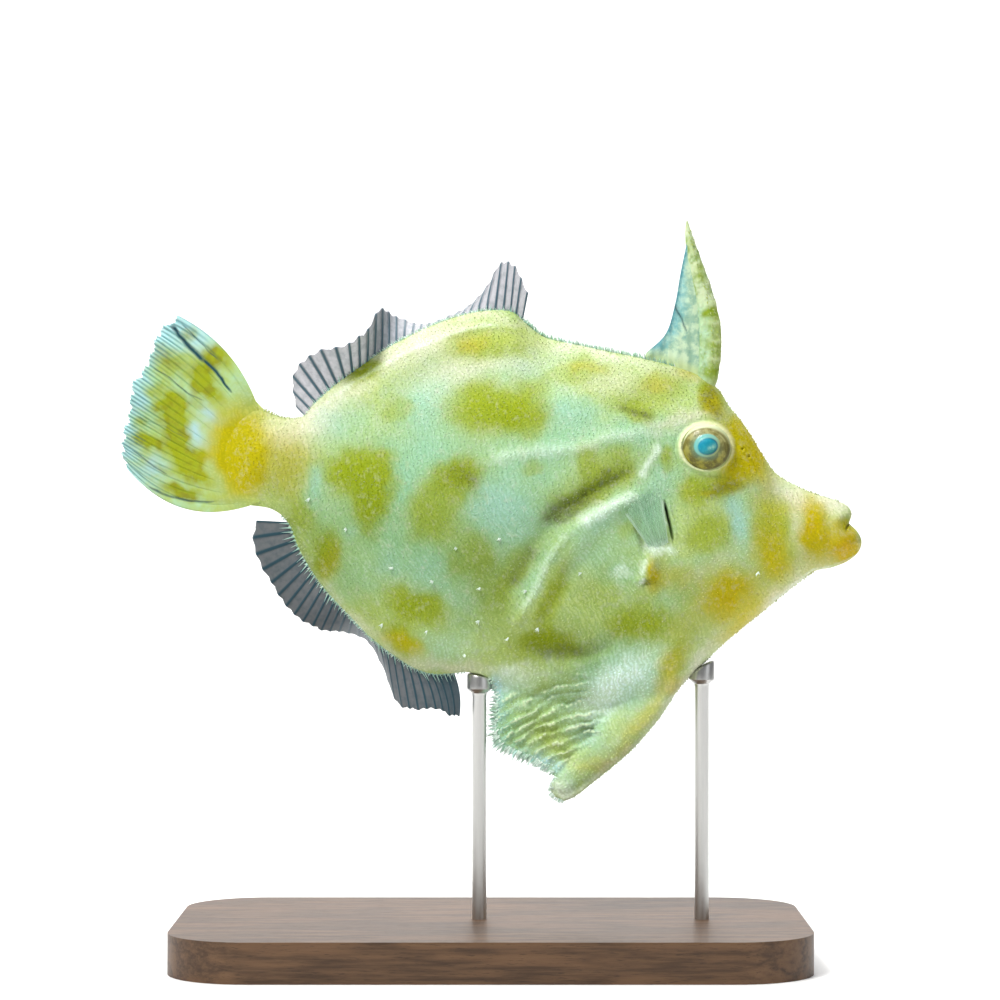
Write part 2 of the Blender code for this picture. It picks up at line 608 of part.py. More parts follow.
def make_body(collection):
    """The body, modelled whole and parted by thin cuts."""
    body = lens("body", body_outline(OUTLINE_STEP, teeth=True), SURFACE_STEP, 0.0, collection)
    cuts = {
        "gill_cut": GILL_CUT, "peduncle_cut": PEDUNCLE_CUT, "flap_cut": FLAP_CUT,
        "lip_cut": LIP_CUT, "mouth_cut": MOUTH_CUT, "stub_cut": STUB_CUT,
    }
    cutters = [ribbon_cutter(name, line, collection) for name, line in cuts.items()]
    boolean(body, cutters, "DIFFERENCE")
    part_body(body, collection)


def grown_body(name, collection):
    """The whole body, larger all round by the gap, to cut its neighbours with."""
    outline = body_outline(OUTLINE_STEP)
    normals = outward(np.vstack([outline[-1:], outline, outline[:1]]))[1:-1]
    grown = outline + normals * SEAT_GAP
    if inside(grown, outline).mean() > 0.5:
        grown = outline - normals * SEAT_GAP
    return lens(name, grown, SURFACE_STEP, SEAT_GAP, collection)


def make_eye(name, side, collection):
    """The eyeball, a flattened sphere in its socket."""
    shell = bmesh.new()
    bmesh.ops.create_uvsphere(shell, u_segments=EYE_SIDES, v_segments=EYE_RINGS, radius=1.0)
    size = Matrix.Diagonal((EYE_RADIUS, EYE_RADIUS, EYE_HALF_DEPTH, 1))
    turn = Matrix.Rotation(math.radians(90), 4, "X")
    bmesh.ops.transform(shell, matrix=Matrix.Scale(MM, 4) @ turn @ size, verts=shell.verts)
    mesh = bpy.data.meshes.new(name)
    shell.to_mesh(mesh)
    shell.free()
    mesh.shade_smooth()
    eye = new_object(name, mesh, "eye", collection)
    eye.location = Vector((EYE_AT[0], side * (eye_base() + EYE_RISE), EYE_AT[1])) * MM
    return eye


def fin_grid(root, keys, shares, rows, scallop):
    """Middle surface of a fin: one column for each share of the root, one row for each step out."""
    keys = np.array(keys)
    along = np.linspace(0, 1, len(root))
    base = np.column_stack([np.interp(shares, along, root[:, k]) for k in range(2)])
    line = smooth_line([(k[0] * 40, k[1], k[2], k[3], k[4]) for k in keys], 0.3)
    tip, bow, swing = (
        np.column_stack([np.interp(shares * 40, line[:, 0], line[:, k]) for k in columns])
        for columns in ((1, 2), (3,), (4,))
    )
    out = tip - base
    across = np.column_stack([-out[:, 1], out[:, 0]])
    across /= np.maximum(np.linalg.norm(across, axis=1), 1e-6)[:, None]
    v = np.linspace(0, 1, rows)[None, :, None]
    reach = v * scallop[:, None, None]
    flat = base[:, None] + out[:, None] * reach + across[:, None] * (bow * 4)[:, None] * v * (1 - v)
    side = swing[:, None] * reach**1.5
    return np.concatenate([flat[..., :1], side, flat[..., 1:]], axis=2)


def sheet_solid(name, grid, half, colour, collection, flat=False):
    """A closed sheet about a grid of points, of the half-thickness given for each point. A flat one is
    thick straight across the fish, and any other is so at its root."""
    along = np.gradient(grid, axis=0)
    outwards = np.gradient(grid, axis=1)
    normal = np.cross(along, outwards)
    normal[:, : grid.shape[1] if flat else 1] *= (0, 1, 0)
    normal /= np.linalg.norm(normal, axis=2)[..., None]
    columns, rows = grid.shape[:2]
    points = np.concatenate([(grid + normal * half[..., None]).reshape(-1, 3),
                             (grid - normal * half[..., None]).reshape(-1, 3)])
    count = columns * rows
    faces = []
    for i in range(columns - 1):
        for j in range(rows - 1):
            a, b = i * rows + j, (i + 1) * rows + j
            for face in ((a, b, b + 1), (a, b + 1, a + 1)):
                faces.append(face)
                faces.append(tuple(count + k for k in reversed(face)))
    loop = [i * rows for i in range(columns)]
    loop += [(columns - 1) * rows + j for j in range(1, rows)]
    loop += [i * rows + rows - 1 for i in range(columns - 2, -1, -1)]
    loop += [j for j in range(rows - 2, 0, -1)]
    for a, b in zip(loop, [*loop[1:], loop[0]]):
        faces.append((b, a, count + a))
        faces.append((b, count + a, count + b))
    return new_object(name, mesh_from(name, points, faces), colour, collection)


def ray_columns(rays, branches):
    """Columns across a fin, with how much of a ray each carries: 1 on its crest, 0 on the membrane."""
    shares, crests, splits = [], [], []
    pitch = 1 / (rays - 1)
    for k in range(rays):
        marks = [(0.0, 1, 0)]
        if branches:
            marks = [(-FORK_SPREAD, 0, 1), (0.0, 1, 0), (FORK_SPREAD, 0, 1)]
        for shift, crest, split in marks:
            share = (k + shift) * pitch
            if 0 <= share <= 1:
                shares.append(share)
                crests.append(crest)
                splits.append(split)
        if k < rays - 1:
            for shift in (0.34, 0.66):
                shares.append((k + shift) * pitch)
                crests.append(0)
                splits.append(0)
    return np.array(shares), np.array(crests, float), np.array(splits, float)


def rayed_fin(name, root, keys, rays, rows, sizes, colour, collection, branches=False):
    """A fin whose rays are ridges raised in the membrane. Sizes are the half-thicknesses of the
    membrane, of a ray at its root and of a ray at its tip."""
    membrane, ray_root, ray_tip = sizes
    shares, crests, splits = ray_columns(rays, branches)
    scallop = 0.96 + 0.04 * crests
    grid = fin_grid(root, keys, shares, rows, scallop)
    v = np.linspace(0, 1, rows)
    ray = ray_root + (ray_tip - ray_root) * v
    whole = crests[:, None] * np.where(v < FORK_AT, 1.0, 0.35) if branches else crests[:, None]
    forked = splits[:, None] * np.where(v < FORK_AT, 0.75, 1.0)
    half = membrane + (ray - membrane) * np.maximum(whole, forked)
    return sheet_solid(name, grid, half, colour, collection)


def edge_root(stroke, first, last):
    """The root line of a fin, one gap off the body's edge between two of its points."""
    line = smooth_line(stroke[first:last], 0.5)
    normals = outward(line)
    away = np.sign(((line - BODY_MIDDLE) * normals).sum(axis=1))[:, None]
    return line + normals * away * FIN_GAP


def make_fins(collection):
    """The soft dorsal, anal and tail fins."""
    sizes, rows = SOFT_FIN_HALF, SOFT_FIN_ROWS
    dorsal_root = edge_root(BACK, 3, 12)[::-1]
    rayed_fin("soft_dorsal_fin", dorsal_root, DORSAL, DORSAL_RAYS, rows, sizes, "soft_fin", collection)
    anal_root = edge_root(BELLY, 2, 13)
    rayed_fin("anal_fin", anal_root, ANAL, ANAL_RAYS, rows, sizes, "soft_fin", collection)
    tail_root = edge_root(TAIL_ROOT, 0, len(TAIL_ROOT))[::-1]
    rows, sizes = TAIL_FIN_ROWS, TAIL_FIN_HALF
    rayed_fin("tail_fin", tail_root, TAIL, TAIL_RAYS, rows, sizes, "tail_fin", collection, branches=True)
    web_root = smooth_line(WEB_ROOT, 0.5) + (0, GAP)
    web = rayed_fin("spine_web", web_root, WEB, WEB_RAYS, WEB_ROWS, WEB_HALF, "spine", collection)
    line = smooth_line(SPINE, 1.0) + (0, 0, GAP)
    boolean(web, [tapered_spine("spine_clearance", line, SPINE_FLATNESS, collection)], "DIFFERENCE")
    boolean(web, [grown_body("web_clearance", collection)], "DIFFERENCE")
    largest_piece(web)


def make_pectoral(name, side, collection):
    """A pectoral fin, lying back along the flank just clear of it."""
    columns = 2 * PECTORAL_RAYS - 1
    crests = 1.0 - np.arange(columns) % 2
    root = smooth_line(PECTORAL_ROOT, 0.3)
    grid = fin_grid(root, PECTORAL, np.linspace(0, 1, columns), PECTORAL_ROWS, 0.95 + 0.05 * crests)
    flat = grid[..., [0, 2]].reshape(-1, 2)
    flank = half_width(flat).reshape(grid.shape[:2])
    half = 0.26 + 0.12 * crests[:, None] * np.linspace(1, 0.3, PECTORAL_ROWS)
    grid[..., 1] = side * (flank + half + PECTORAL_LIFT + grid[..., 1])
    return sheet_solid(name, grid, half, "soft_fin", collection, flat=True)


def tapered_spine(name, line, flatness, collection):
    """A curved spine of oval section that tapers to its tip."""
    count = len(line)
    run = np.gradient(line[:, :2], axis=0)
    run /= np.linalg.norm(run, axis=1)[:, None]
    turn = np.linspace(0, 2 * math.pi, SPINE_SIDES, endpoint=False)
    points = []
    for (x, z, size), (dx, dz) in zip(line, run):
        for t in turn:
            fore = size * math.cos(t)
            points.append((x + dz * fore, flatness * size * math.sin(t), z - dx * fore))
    faces = []
    for i in range(count - 1):
        for k in range(SPINE_SIDES):
            a, b = i * SPINE_SIDES + k, i * SPINE_SIDES + (k + 1) % SPINE_SIDES
            faces.append((a, b, b + SPINE_SIDES, a + SPINE_SIDES))
    faces.append(tuple(range(SPINE_SIDES - 1, -1, -1)))
    faces.append(tuple((count - 1) * SPINE_SIDES + k for k in range(SPINE_SIDES)))
    return new_object(name, mesh_from(name, points, faces), "spine", collection)


def make_spine(collection):
    """The first dorsal spine, with two rows of short barbs that point down."""
    line = smooth_line(SPINE, 2.0)
    spine = tapered_spine("dorsal_spine", line, SPINE_FLATNESS, collection)
    fine_step = 0.1
    fine = smooth_line(SPINE, fine_step)
    barbs = []
    for k in range(BARB_ROWS):
        x, z, size = fine[int((BARB_START + k * BARB_PITCH) / fine_step)]
        for side in (-1, 1):
            shell = bmesh.new()
            bmesh.ops.create_cone(
                shell, segments=5, cap_ends=True, cap_tris=True, radius1=BARB_RADIUS * MM, radius2=0.05 * MM,
                depth=BARB_LENGTH * MM,
            )
            mesh = bpy.data.meshes.new("barb")
            shell.to_mesh(mesh)
            shell.free()
            barb = new_object("barb", mesh, None, collection)
            barb.rotation_euler = (side * math.radians(-BARB_TURN), 0, 0)
            out = side * SPINE_FLATNESS * size
            barb.location = Vector((x + 0.35 * size, out * 0.98, z)) * MM
            barbs.append(barb)
    bpy.context.view_layer.update()
    boolean(spine, barbs, "UNION")
    boolean(spine, [grown_body("spine_clearance", collection)], "DIFFERENCE")
    largest_piece(spine)


def make_base(collection):
    """The flat base, a rounded slab with softened edges."""
    curve = bpy.data.curves.new("stand_base", "CURVE")
    curve.dimensions = "2D"
    curve.fill_mode = "BOTH"
    half_length = BASE_LENGTH / 2 - BASE_CORNER
    half_width_mm = BASE_WIDTH / 2 - BASE_CORNER
    outline = curve.splines.new("POLY")
    corners = ((1, 1, 0), (-1, 1, 90), (-1, -1, 180), (1, -1, 270))
    points = []
    for sx, sy, start in corners:
        for step in range(BASE_CORNER_STEPS + 1):
            turn = math.radians(start + step * 90 / BASE_CORNER_STEPS)
            x = sx * half_length + BASE_CORNER * math.cos(turn)
            y = sy * half_width_mm + BASE_CORNER * math.sin(turn)
            points.append((x * MM, y * MM, 0, 1))
    outline.points.add(len(points) - 1)
    for point, place in zip(outline.points, points):
        point.co = place
    outline.use_cyclic_u = True
    curve.extrude = BASE_HEIGHT / 2 * MM
    helper = bpy.data.objects.new("base_outline", curve)
    collection.objects.link(helper)
    graph = bpy.context.evaluated_depsgraph_get()
    mesh = bpy.data.meshes.new_from_object(helper.evaluated_get(graph))
    bpy.data.objects.remove(helper)
    shell = bmesh.new()
    shell.from_mesh(mesh)
    bmesh.ops.remove_doubles(shell, verts=shell.verts, dist=0.00001)
    bmesh.ops.dissolve_limit(shell, angle_limit=0.01, verts=shell.verts, edges=shell.edges)
    bmesh.ops.recalc_face_normals(shell, faces=shell.faces)
    shell.to_mesh(mesh)
    shell.free()
    mesh.name = "stand_base"
    base = new_object("stand_base", mesh, "wood", collection)
    base.location.z = BASE_HEIGHT / 2 * MM
    bevel = base.modifiers.new("softened", "BEVEL")
    bevel.width = BASE_EDGE * MM
    bevel.segments = 2
    bevel.limit_method = "ANGLE"
    bevel.angle_limit = math.radians(50)


def cylinder(name, radius, low, high, place, collection):
    """An upright cylinder between two heights."""
    shell = bmesh.new()
    bmesh.ops.create_cone(
        shell, segments=24, cap_ends=True, radius1=radius * MM, radius2=radius * MM, depth=(high - low) * MM
    )
    mesh = bpy.data.meshes.new(name)
    shell.to_mesh(mesh)
    shell.free()
    obj = new_object(name, mesh, "steel", collection)
    obj.location = Vector((place, 0, (low + high) / 2)) * MM
    return obj


def make_rod(name, x, top, collection):
    """A rod with a round seat that is hollowed to the fish's underside."""
    rod = cylinder(name, ROD_RADIUS, BASE_HEIGHT + GAP, top - SEAT_HEIGHT + 0.5, x, collection)
    seat = cylinder("seat", SEAT_RADIUS, top - SEAT_HEIGHT, top, x, collection)
    bpy.context.view_layer.update()
    boolean(rod, [seat], "UNION")
    boolean(rod, [grown_body(name + "_hollow", collection)], "DIFFERENCE")
    largest_piece(rod)


def shade(collection):
    """Smooth shading, broken at sharp edges."""
    for obj in collection.objects:
        obj.data.shade_smooth()
        obj.data.set_sharp_from_angle(angle=math.radians(40))


def main():
    for obj in list(bpy.data.objects):
        bpy.data.objects.remove(obj)
    collection = bpy.data.collections.new("filefish")
    bpy.context.scene.collection.children.link(collection)
    make_body(collection)
    make_eye("eye_right", -1, collection)
    make_eye("eye_left", 1, collection)
    make_fins(collection)
    make_pectoral("pectoral_fin_right", -1, collection)
    make_pectoral("pectoral_fin_left", 1, collection)
    make_spine(collection)
    make_base(collection)
    for name, (x, top) in RODS.items():
        make_rod(name, x, top, collection)
    shade(collection)


main()
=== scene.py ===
"""Bristle-tail filefish: its looks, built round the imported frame.

+X runs towards the snout, +Z is up, and the fish's right side faces -Y. Sizes in the tables are millimetres.
"""

import math

import bmesh
import bpy
import numpy as np
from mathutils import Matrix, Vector
from mathutils.geometry import delaunay_2d_cdt

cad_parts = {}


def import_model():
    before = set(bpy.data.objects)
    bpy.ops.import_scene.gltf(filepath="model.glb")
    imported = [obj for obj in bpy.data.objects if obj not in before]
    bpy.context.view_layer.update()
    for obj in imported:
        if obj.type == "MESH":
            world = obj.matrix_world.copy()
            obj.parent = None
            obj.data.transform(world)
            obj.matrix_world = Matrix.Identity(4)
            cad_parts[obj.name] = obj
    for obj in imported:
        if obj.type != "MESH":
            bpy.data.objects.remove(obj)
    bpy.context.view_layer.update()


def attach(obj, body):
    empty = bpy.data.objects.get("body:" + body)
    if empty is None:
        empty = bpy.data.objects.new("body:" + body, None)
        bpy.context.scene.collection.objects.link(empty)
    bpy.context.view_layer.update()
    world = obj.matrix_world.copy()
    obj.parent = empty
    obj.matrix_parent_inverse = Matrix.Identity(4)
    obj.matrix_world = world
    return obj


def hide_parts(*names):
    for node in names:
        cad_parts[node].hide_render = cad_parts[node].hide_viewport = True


MM = 0.001

# The back, from the tail fin's upper corner to the corner of the mouth, as (x, z).
BACK = [
    (-35.3, 83.7), (-34, 82.4), (-31.1, 81.2), (-28.1, 81.4), (-26.5, 83.3), (-22.1, 87.2), (-16.9, 90.8),
    (-10.9, 94.1), (-5.3, 96.3), (-0.1, 97.3), (3.3, 97), (5.2, 95.4), (7.9, 93.4), (14.6, 91.8),
    (22.7, 90.1), (27.5, 88.9), (31.8, 87.2), (34.1, 85.4), (35.7, 82.9), (38, 80), (40.8, 75.5),
    (42.4, 73.1), (44.6, 71.5), (46.9, 70.4), (49.3, 69.5), (52.2, 68.6), (53.5, 67.9), (54.1, 66.8),
    (53.7, 65.3),
]
# The lower lip, chin, throat and leading edge of the pelvic flap, down to its tip.
THROAT = [
    (53.7, 65.3), (55, 64), (55.6, 62.5), (55.1, 61), (53.6, 59.7), (51.2, 58.7), (48.5, 58.1),
    (46.1, 56.4), (40.4, 51.8), (34.6, 47), (31.4, 43.8), (28.5, 40.9), (25.4, 36.3), (23.2, 33.6),
    (20.9, 31.1), (16, 27), (12.4, 24.2), (10.9, 23.6),
]
STUB = [(10.9, 23.6), (9.5, 24.4), (8.8, 25.7), (9.6, 27.2)]
FLAP_EDGE = [
    (9.6, 27.2), (8.7, 28.3), (6.7, 29.9), (3.2, 31.4), (1.4, 32.3), (0.7, 34), (0.7, 36.9), (0.9, 39.3),
    (0.1, 41.3), (-1.6, 42.5),
]
BELLY = [
    (-1.6, 42.5), (-3.9, 43), (-5.8, 42.8), (-8, 42.6), (-10.3, 43), (-12.4, 44), (-14.5, 45.4),
    (-18.1, 48.2), (-21.5, 51.7), (-25.1, 55.6), (-28, 59.9), (-29.2, 62.2), (-30.3, 65.1), (-31.3, 66.4),
    (-33.1, 67.5), (-36.1, 68),
]
TAIL_ROOT = [
    (-36.1, 68), (-38.2, 69.7), (-39.7, 71.9), (-40.3, 74.6), (-39.9, 77.3), (-38.6, 80), (-37, 82.3),
    (-35.3, 83.7),
]
# The lower edge of the thick body, which crosses the flap's root.
KEEL = [
    (-36.1, 68), (-33.1, 67.5), (-30.3, 65.1), (-28, 59.9), (-25.1, 55.6), (-21.5, 51.7), (-18.1, 48.2),
    (-14.5, 45.4), (-10.3, 43), (-5.8, 42.6), (0, 41.2), (8, 39.3), (16, 38.6), (24, 39.6), (28.5, 40.9),
    (31.4, 43.8), (34.6, 47), (40.4, 51.8), (46.1, 56.4), (48.5, 58.1), (51.2, 58.7), (53.5, 59.7),
    (55.4, 61.5),
]
BREADTH = [
    (-40.3, 1.2), (-35.3, 2), (-30, 2.8), (-22, 4.5), (-10, 6.6), (4, 7.9), (16, 8.2), (26, 7.7), (34, 6.9),
    (42, 5.3), (48, 3.9), (52, 3.3), (55.6, 2.9),
]
FULLNESS = 0.66
EDGE_RADIUS = 0.45
FLAP_ROOT_HALF = 0.95
FLAP_EDGE_HALF = 0.42
FLAP_ROUNDING = 1.1
PELVIS = [(33.0, 50.5, 2.4), (27.0, 43.0, 2.9), (21.5, 36.5, 2.3), (15.5, 30.6, 1.5), (11.0, 26.2, 0.9)]
PELVIS_SPREAD = 1.7
FLAP_ROWS_AT = (8.5, 33.6)
FLAP_ROWS_TURN = 25.0
FLAP_ROW_PITCH = 1.55
FLAP_ROW_BEND = 0.018
FLAP_ROW_HEIGHT = 0.33
FLAP_ROW_REACH = 10.5
FLAP_ROWS_SPREAD = 8.6
LIP_ROUNDING = 3.2

# Swellings and hollows of the flank, as (x, z, long radius, short radius, turn in degrees, height).
MODELLING = [
    (20, 68.3, 5, 1.7, 28, 0.75), (13.2, 63.2, 6, 1.8, 47, 0.85), (7.8, 55, 6.5, 2.2, 63, 0.45),
    (2.5, 58, 8, 3.5, 58, -0.5), (14.5, 54.5, 7, 4, 50, -0.45), (9.5, 46.5, 6, 2.8, 8, -0.6),
    (24, 42.5, 6.5, 4, 40, 0.7), (23.7, 58.8, 1.9, 1.2, 75, 0.85), (32.3, 76.8, 7.5, 7, 0, 0.9),
    (26.5, 81.5, 7, 2, 10, 0.35), (-14, 88, 14, 2, 33, 0.35), (2, 92, 7, 1.6, 0, 0.4),
    (44.5, 63.5, 6, 3.5, -20, -0.3), (-6, 66, 16, 9, 10, 0.35),
]
# Finer folds, which only the skin has.
FOLDS = [
    (22.9, 56.6, 0.6, 0.4, 0, -0.5), (22, 56.9, 0.7, 0.5, 20, 0.45), (23.4, 58.6, 1.7, 0.8, 80, 0.4),
    (24.4, 65.6, 3.4, 1.6, -72, -0.35), (18.2, 40.6, 5.2, 3, 38, 0.75), (12.5, 77, 9, 2, 5, 0.25),
    (1, 67.5, 5, 4, 0, -0.25), (29, 64.5, 3.4, 5, 0, 0.3), (36, 66, 1.6, 4.6, 12, -0.2),
    (52.2, 66.3, 1.1, 1, 0, 0.2), (52.6, 62.2, 1.4, 1.6, 0, 0.25), (50.4, 64, 0.7, 3.4, 4, -0.2),
    (45, 60.5, 5, 1.6, 35, 0.2), (33.6, 72.2, 3.6, 0.7, 4, -0.25), (40.5, 71.5, 3.5, 1.2, -40, 0.2),
    (14, 34, 2.4, 1.2, 35, -0.35), (-20, 72, 6, 7, 0, 0.2),
]
# Creases of the skin: a line of points, its half-width and its height.
CREASES = [
    ([(21.6, 69.9), (19.3, 68.6), (15, 66.5), (11.7, 64.1), (9.3, 61.3), (8.2, 59)], 0.95, 0.55),
    ([(10.2, 62.6), (8.6, 60), (7.4, 57.5), (6, 54.5), (4.4, 51.4), (3, 49.4)], 0.6, 0.36), ([(12.5, 67.6),
    (9, 65), (6.4, 61.5), (4.4, 57.6), (2.8, 53.8)], 1.4, -0.45), ([(13.6, 60.8), (11.2, 57.3), (8.8, 53.2),
    (7, 49.8)], 1.1, -0.34), ([(7.8, 66.9), (11.2, 68), (14.5, 69.7), (18, 71.4), (21.5, 73)], 0.7, -0.45),
    ([(4.2, 48.2), (8, 46.2), (11.5, 45.6), (15.5, 46.4), (19, 48)], 1.1, -0.65), ([(27.2, 46.4),
    (25.4, 41.4), (21.8, 35.8), (17.6, 31.6), (14, 28.6)], 0.6, -0.28), ([(-3, 73.8), (2, 75.2), (7, 76.1),
    (13, 76.4), (17.5, 78.2), (25, 78.8)], 1, 0.3), ([(24.9, 77.2), (23.3, 74.5), (21.6, 71)], 0.65, 0.18),
    ([(-28.2, 80.6), (-24.3, 83.4), (-19.9, 86.5), (-16.2, 88.6), (-10.3, 91.8), (-4.5, 94), (0, 94.7),
    (4.2, 94.2)], 0.4, 0.26), ([(-27, 82.4), (-20.5, 87.3), (-11, 92.6), (-4.5, 95.1), (0.5, 95.8)], 0.45,
    -0.22), ([(18.6, 82.6), (21, 81.9), (25, 80.8)], 0.5, -0.2), ([(21.1, 65.4), (22.2, 62.8),
    (22.6, 60.6)], 0.35, -0.35), ([(27.6, 69.4), (28.4, 66), (28.8, 62.4)], 0.6, 0.14),
]
GILL_SLIT = [(25.6, 68.9), (25.9, 67.4), (26.5, 64.9), (27.0, 62.4)]
GILL_HALF = 0.21
GILL_DEPTH = 1.4
MOUTH = [(54.4, 65.5), (53.8, 65.3), (53.3, 64.9), (53.0, 64.2)]
MOUTH_HALF = 0.17
MOUTH_DEPTH = 0.55

EYE_AT = (31.9, 76.45)
EYE_RADIUS = 3.6
EYE_HALF_DEPTH = 1.75
EYE_RISE = 0.35
BOWL_SUNK = 0.25
BOWL_GAP = 0.1
IRIS_AT = (-0.07, -0.07)
IRIS_HALF = (3.47, 3.05)
EYE_SQUASH = 1.13
PUPIL_AT = (0.06, 0.24)
PUPIL_HALF = (1.47, 1.23)
PUPIL_LEAN = math.radians(12.0)
RING_AT = (-0.03, 0.38)
RING_HALF = (1.95, 1.72)
LID_RADIUS = 3.75
LID_SPREAD = 0.28
LID_HEIGHT = 0.5
NOSTRILS = [(37.4, 76.4), (38.4, 75.3)]
NOSTRIL_RADIUS = 0.22
NOSTRIL_DEPTH = 0.35

# Rays of the fins, as (share of the root, tip x, tip z, bow, sideways swing of the tip).
DORSAL_RAYS = 30
DORSAL = [
    (0, 5.5, 99.9, 0, -1.5), (0.07, 3.6, 103.8, 0, -0.5), (0.135, 1.7, 104.7, 0, 0.8),
    (0.205, -0.5, 101.3, 0.2, 4.6), (0.275, -3.2, 98.4, 0.2, 6.5), (0.345, -6.4, 96.8, 0, 7),
    (0.415, -9.4, 95.7, 0, 7), (0.48, -11.6, 95.6, 0, 6.4), (0.56, -14.7, 96.8, 0, 4.6),
    (0.635, -16.7, 97.5, 0, 0), (0.7, -18.7, 93.8, 0, -4.8), (0.765, -21.4, 92, 0, -5),
    (0.835, -25.7, 91, 0, -3.2), (0.9, -28.8, 89.1, 0, -1), (0.95, -29.9, 86.2, 0, 1.2),
    (1, -29.3, 82.9, 0, 1.2),
]
ANAL_RAYS = 28
ANAL = [
    (0, -4.8, 36.4, 0.6, 0.6), (0.07, -6.2, 36.5, 0.4, 0), (0.14, -8, 37.4, 0.3, -0.4),
    (0.2, -10.1, 37.4, 0.2, -0.4), (0.27, -12.5, 37.4, 0, 0.6), (0.33, -14.4, 38.6, 0, 3),
    (0.39, -16.2, 43, 0, 6), (0.45, -18.7, 47.2, 0, 7.2), (0.5, -20.9, 48.4, 0, 7),
    (0.57, -23.6, 48.9, 0, 5.4), (0.64, -26, 49.3, 0, 3.6), (0.71, -28.6, 50.7, 0, 1.8),
    (0.78, -30.8, 53.1, 0, 0), (0.85, -32.9, 56.3, 0, -1.6), (0.91, -34.7, 59.7, 0, -2.4),
    (0.96, -35.6, 63, 0, -2.2), (1, -35, 65.7, 0, -1.2),
]
TAIL_RAYS = 12
TAIL = [
    (0, -46.9, 96.5, -1.65, 0.5), (0.1, -49.4, 94.5, -1.05, 1.1), (0.2, -50.4, 92.3, -0.6, -0.4),
    (0.35, -52.1, 88.7, -0.3, 0.9), (0.5, -53.9, 85.2, 0, -0.3), (0.65, -54.5, 81.2, 0.15, 0.6),
    (0.8, -55, 77.7, 0.75, -0.6), (0.9, -55.3, 75.8, 1.8, 0.2), (1, -54.6, 73.6, 3.35, 1),
]
WEB = [
    (0, 29.35, 107.8, -1.2, 0), (0.2, 28.4, 103, -0.8, 0.2), (0.45, 27.65, 98.5, -0.2, 0.3),
    (0.75, 26.2, 93.8, 0.2, 0.2), (1, 23.3, 90.9, 0.1, 0),
]
WEB_ROOT = [(32.2, 88.0), (30.55, 88.2), (28.5, 88.95), (26.0, 89.7), (23.2, 90.35)]
PECTORAL_RAYS = 10
PECTORAL_ROOT = [(26.3, 61.9), (25.0, 61.3), (23.6, 61.4)]
PECTORAL = [
    (0, 25, 69.6, 0, 1.3), (0.35, 22.8, 70, 0, 1.9), (0.7, 20.9, 68.9, 0, 1.8), (1, 19.7, 66.8, 0, 1.2),
]
PECTORAL_LIFT = 0.35
SPINE = [
    (32, 85.2, 1.3), (32.5, 87.3, 1.5), (32.8, 90.2, 1.6), (32.9, 93.5, 1.6), (32.6, 96.5, 1.5),
    (31.9, 100, 1.3), (31, 103.2, 1.05), (30.1, 106.4, 0.8), (29.6, 108.8, 0.5), (29.4, 110.6, 0.12),
]
SPINE_FLATNESS = 0.72

# Markings, as (x, z, long radius, short radius, turn in degrees, strength).
AQUA = [
    (18, 60, 4.5, 3, 30, 0.5), (2.4, 60.5, 2, 4.5, -30, 0.35), (27, 54, 4, 2.6, 20, 0.4),
    (12.5, 81.5, 6.5, 3, -10, 0.7), (10, 77.3, 10, 2.2, 5, 0.8), (-9, 80, 4, 5.5, 0, 0.75),
    (-9, 75.8, 5.5, 3, 0, 0.8), (3.5, 72.3, 7.5, 3.5, 10, 0.9), (0.8, 67.3, 5.4, 4.6, 0, 1),
    (-14, 70.5, 2.4, 8, -8, 0.75), (-17, 63, 6.5, 4, -20, 0.7), (-8.5, 59, 5.5, 3.5, -20, 0.75),
    (-4, 53.5, 3.5, 3.5, 0, 0.45), (-6.5, 47.5, 4, 2.5, 0, 0.5), (-26.3, 70.8, 1.9, 2.6, 20, 0.9),
    (-24.5, 66, 3, 3, 0, 0.6), (-20, 57, 3.5, 3, -40, 0.5), (15.5, 62, 3.5, 2.6, 45, 0.6),
    (25, 72, 3.5, 3.2, -20, 0.6), (22, 79, 6.5, 1.9, 0, 0.75), (23.5, 66.5, 3, 4, -20, 0.85),
    (36.2, 66.6, 1.8, 4.6, 12, 0.95), (40.2, 71, 4, 2.3, -25, 0.7), (28.5, 58.8, 4, 1.6, 20, 0.5),
    (19, 42.5, 6.5, 4.4, 35, 0.95), (5.5, 38.5, 5.5, 4, 30, 0.5), (14.5, 34.5, 3.5, 1.8, 35, 0.7),
    (10.5, 26.2, 2.5, 2, 0, 0.5), (1.8, 36.5, 1.8, 5, 0, 0.8), (5, 31, 4.5, 1.4, -25, 0.8),
    (18.9, 57.6, 1.8, 1.3, 20, 0.9), (-21, 78, 5, 3.5, 0, 0.45), (16.5, 67, 4.5, 1.8, 28, 0.6),
    (2, 87.6, 8, 1.3, 4, 0.35), (6.5, 57.6, 1.5, 4.5, -28, 0.7), (-9.4, 82.5, 2.6, 5, 0, 0.8),
    (-14.2, 71.4, 1.6, 5, 0, 0.8), (-23.4, 80.6, 3.6, 2, 20, 0.7), (12.2, 81.4, 3.4, 1.6, 0, 0.4),
]
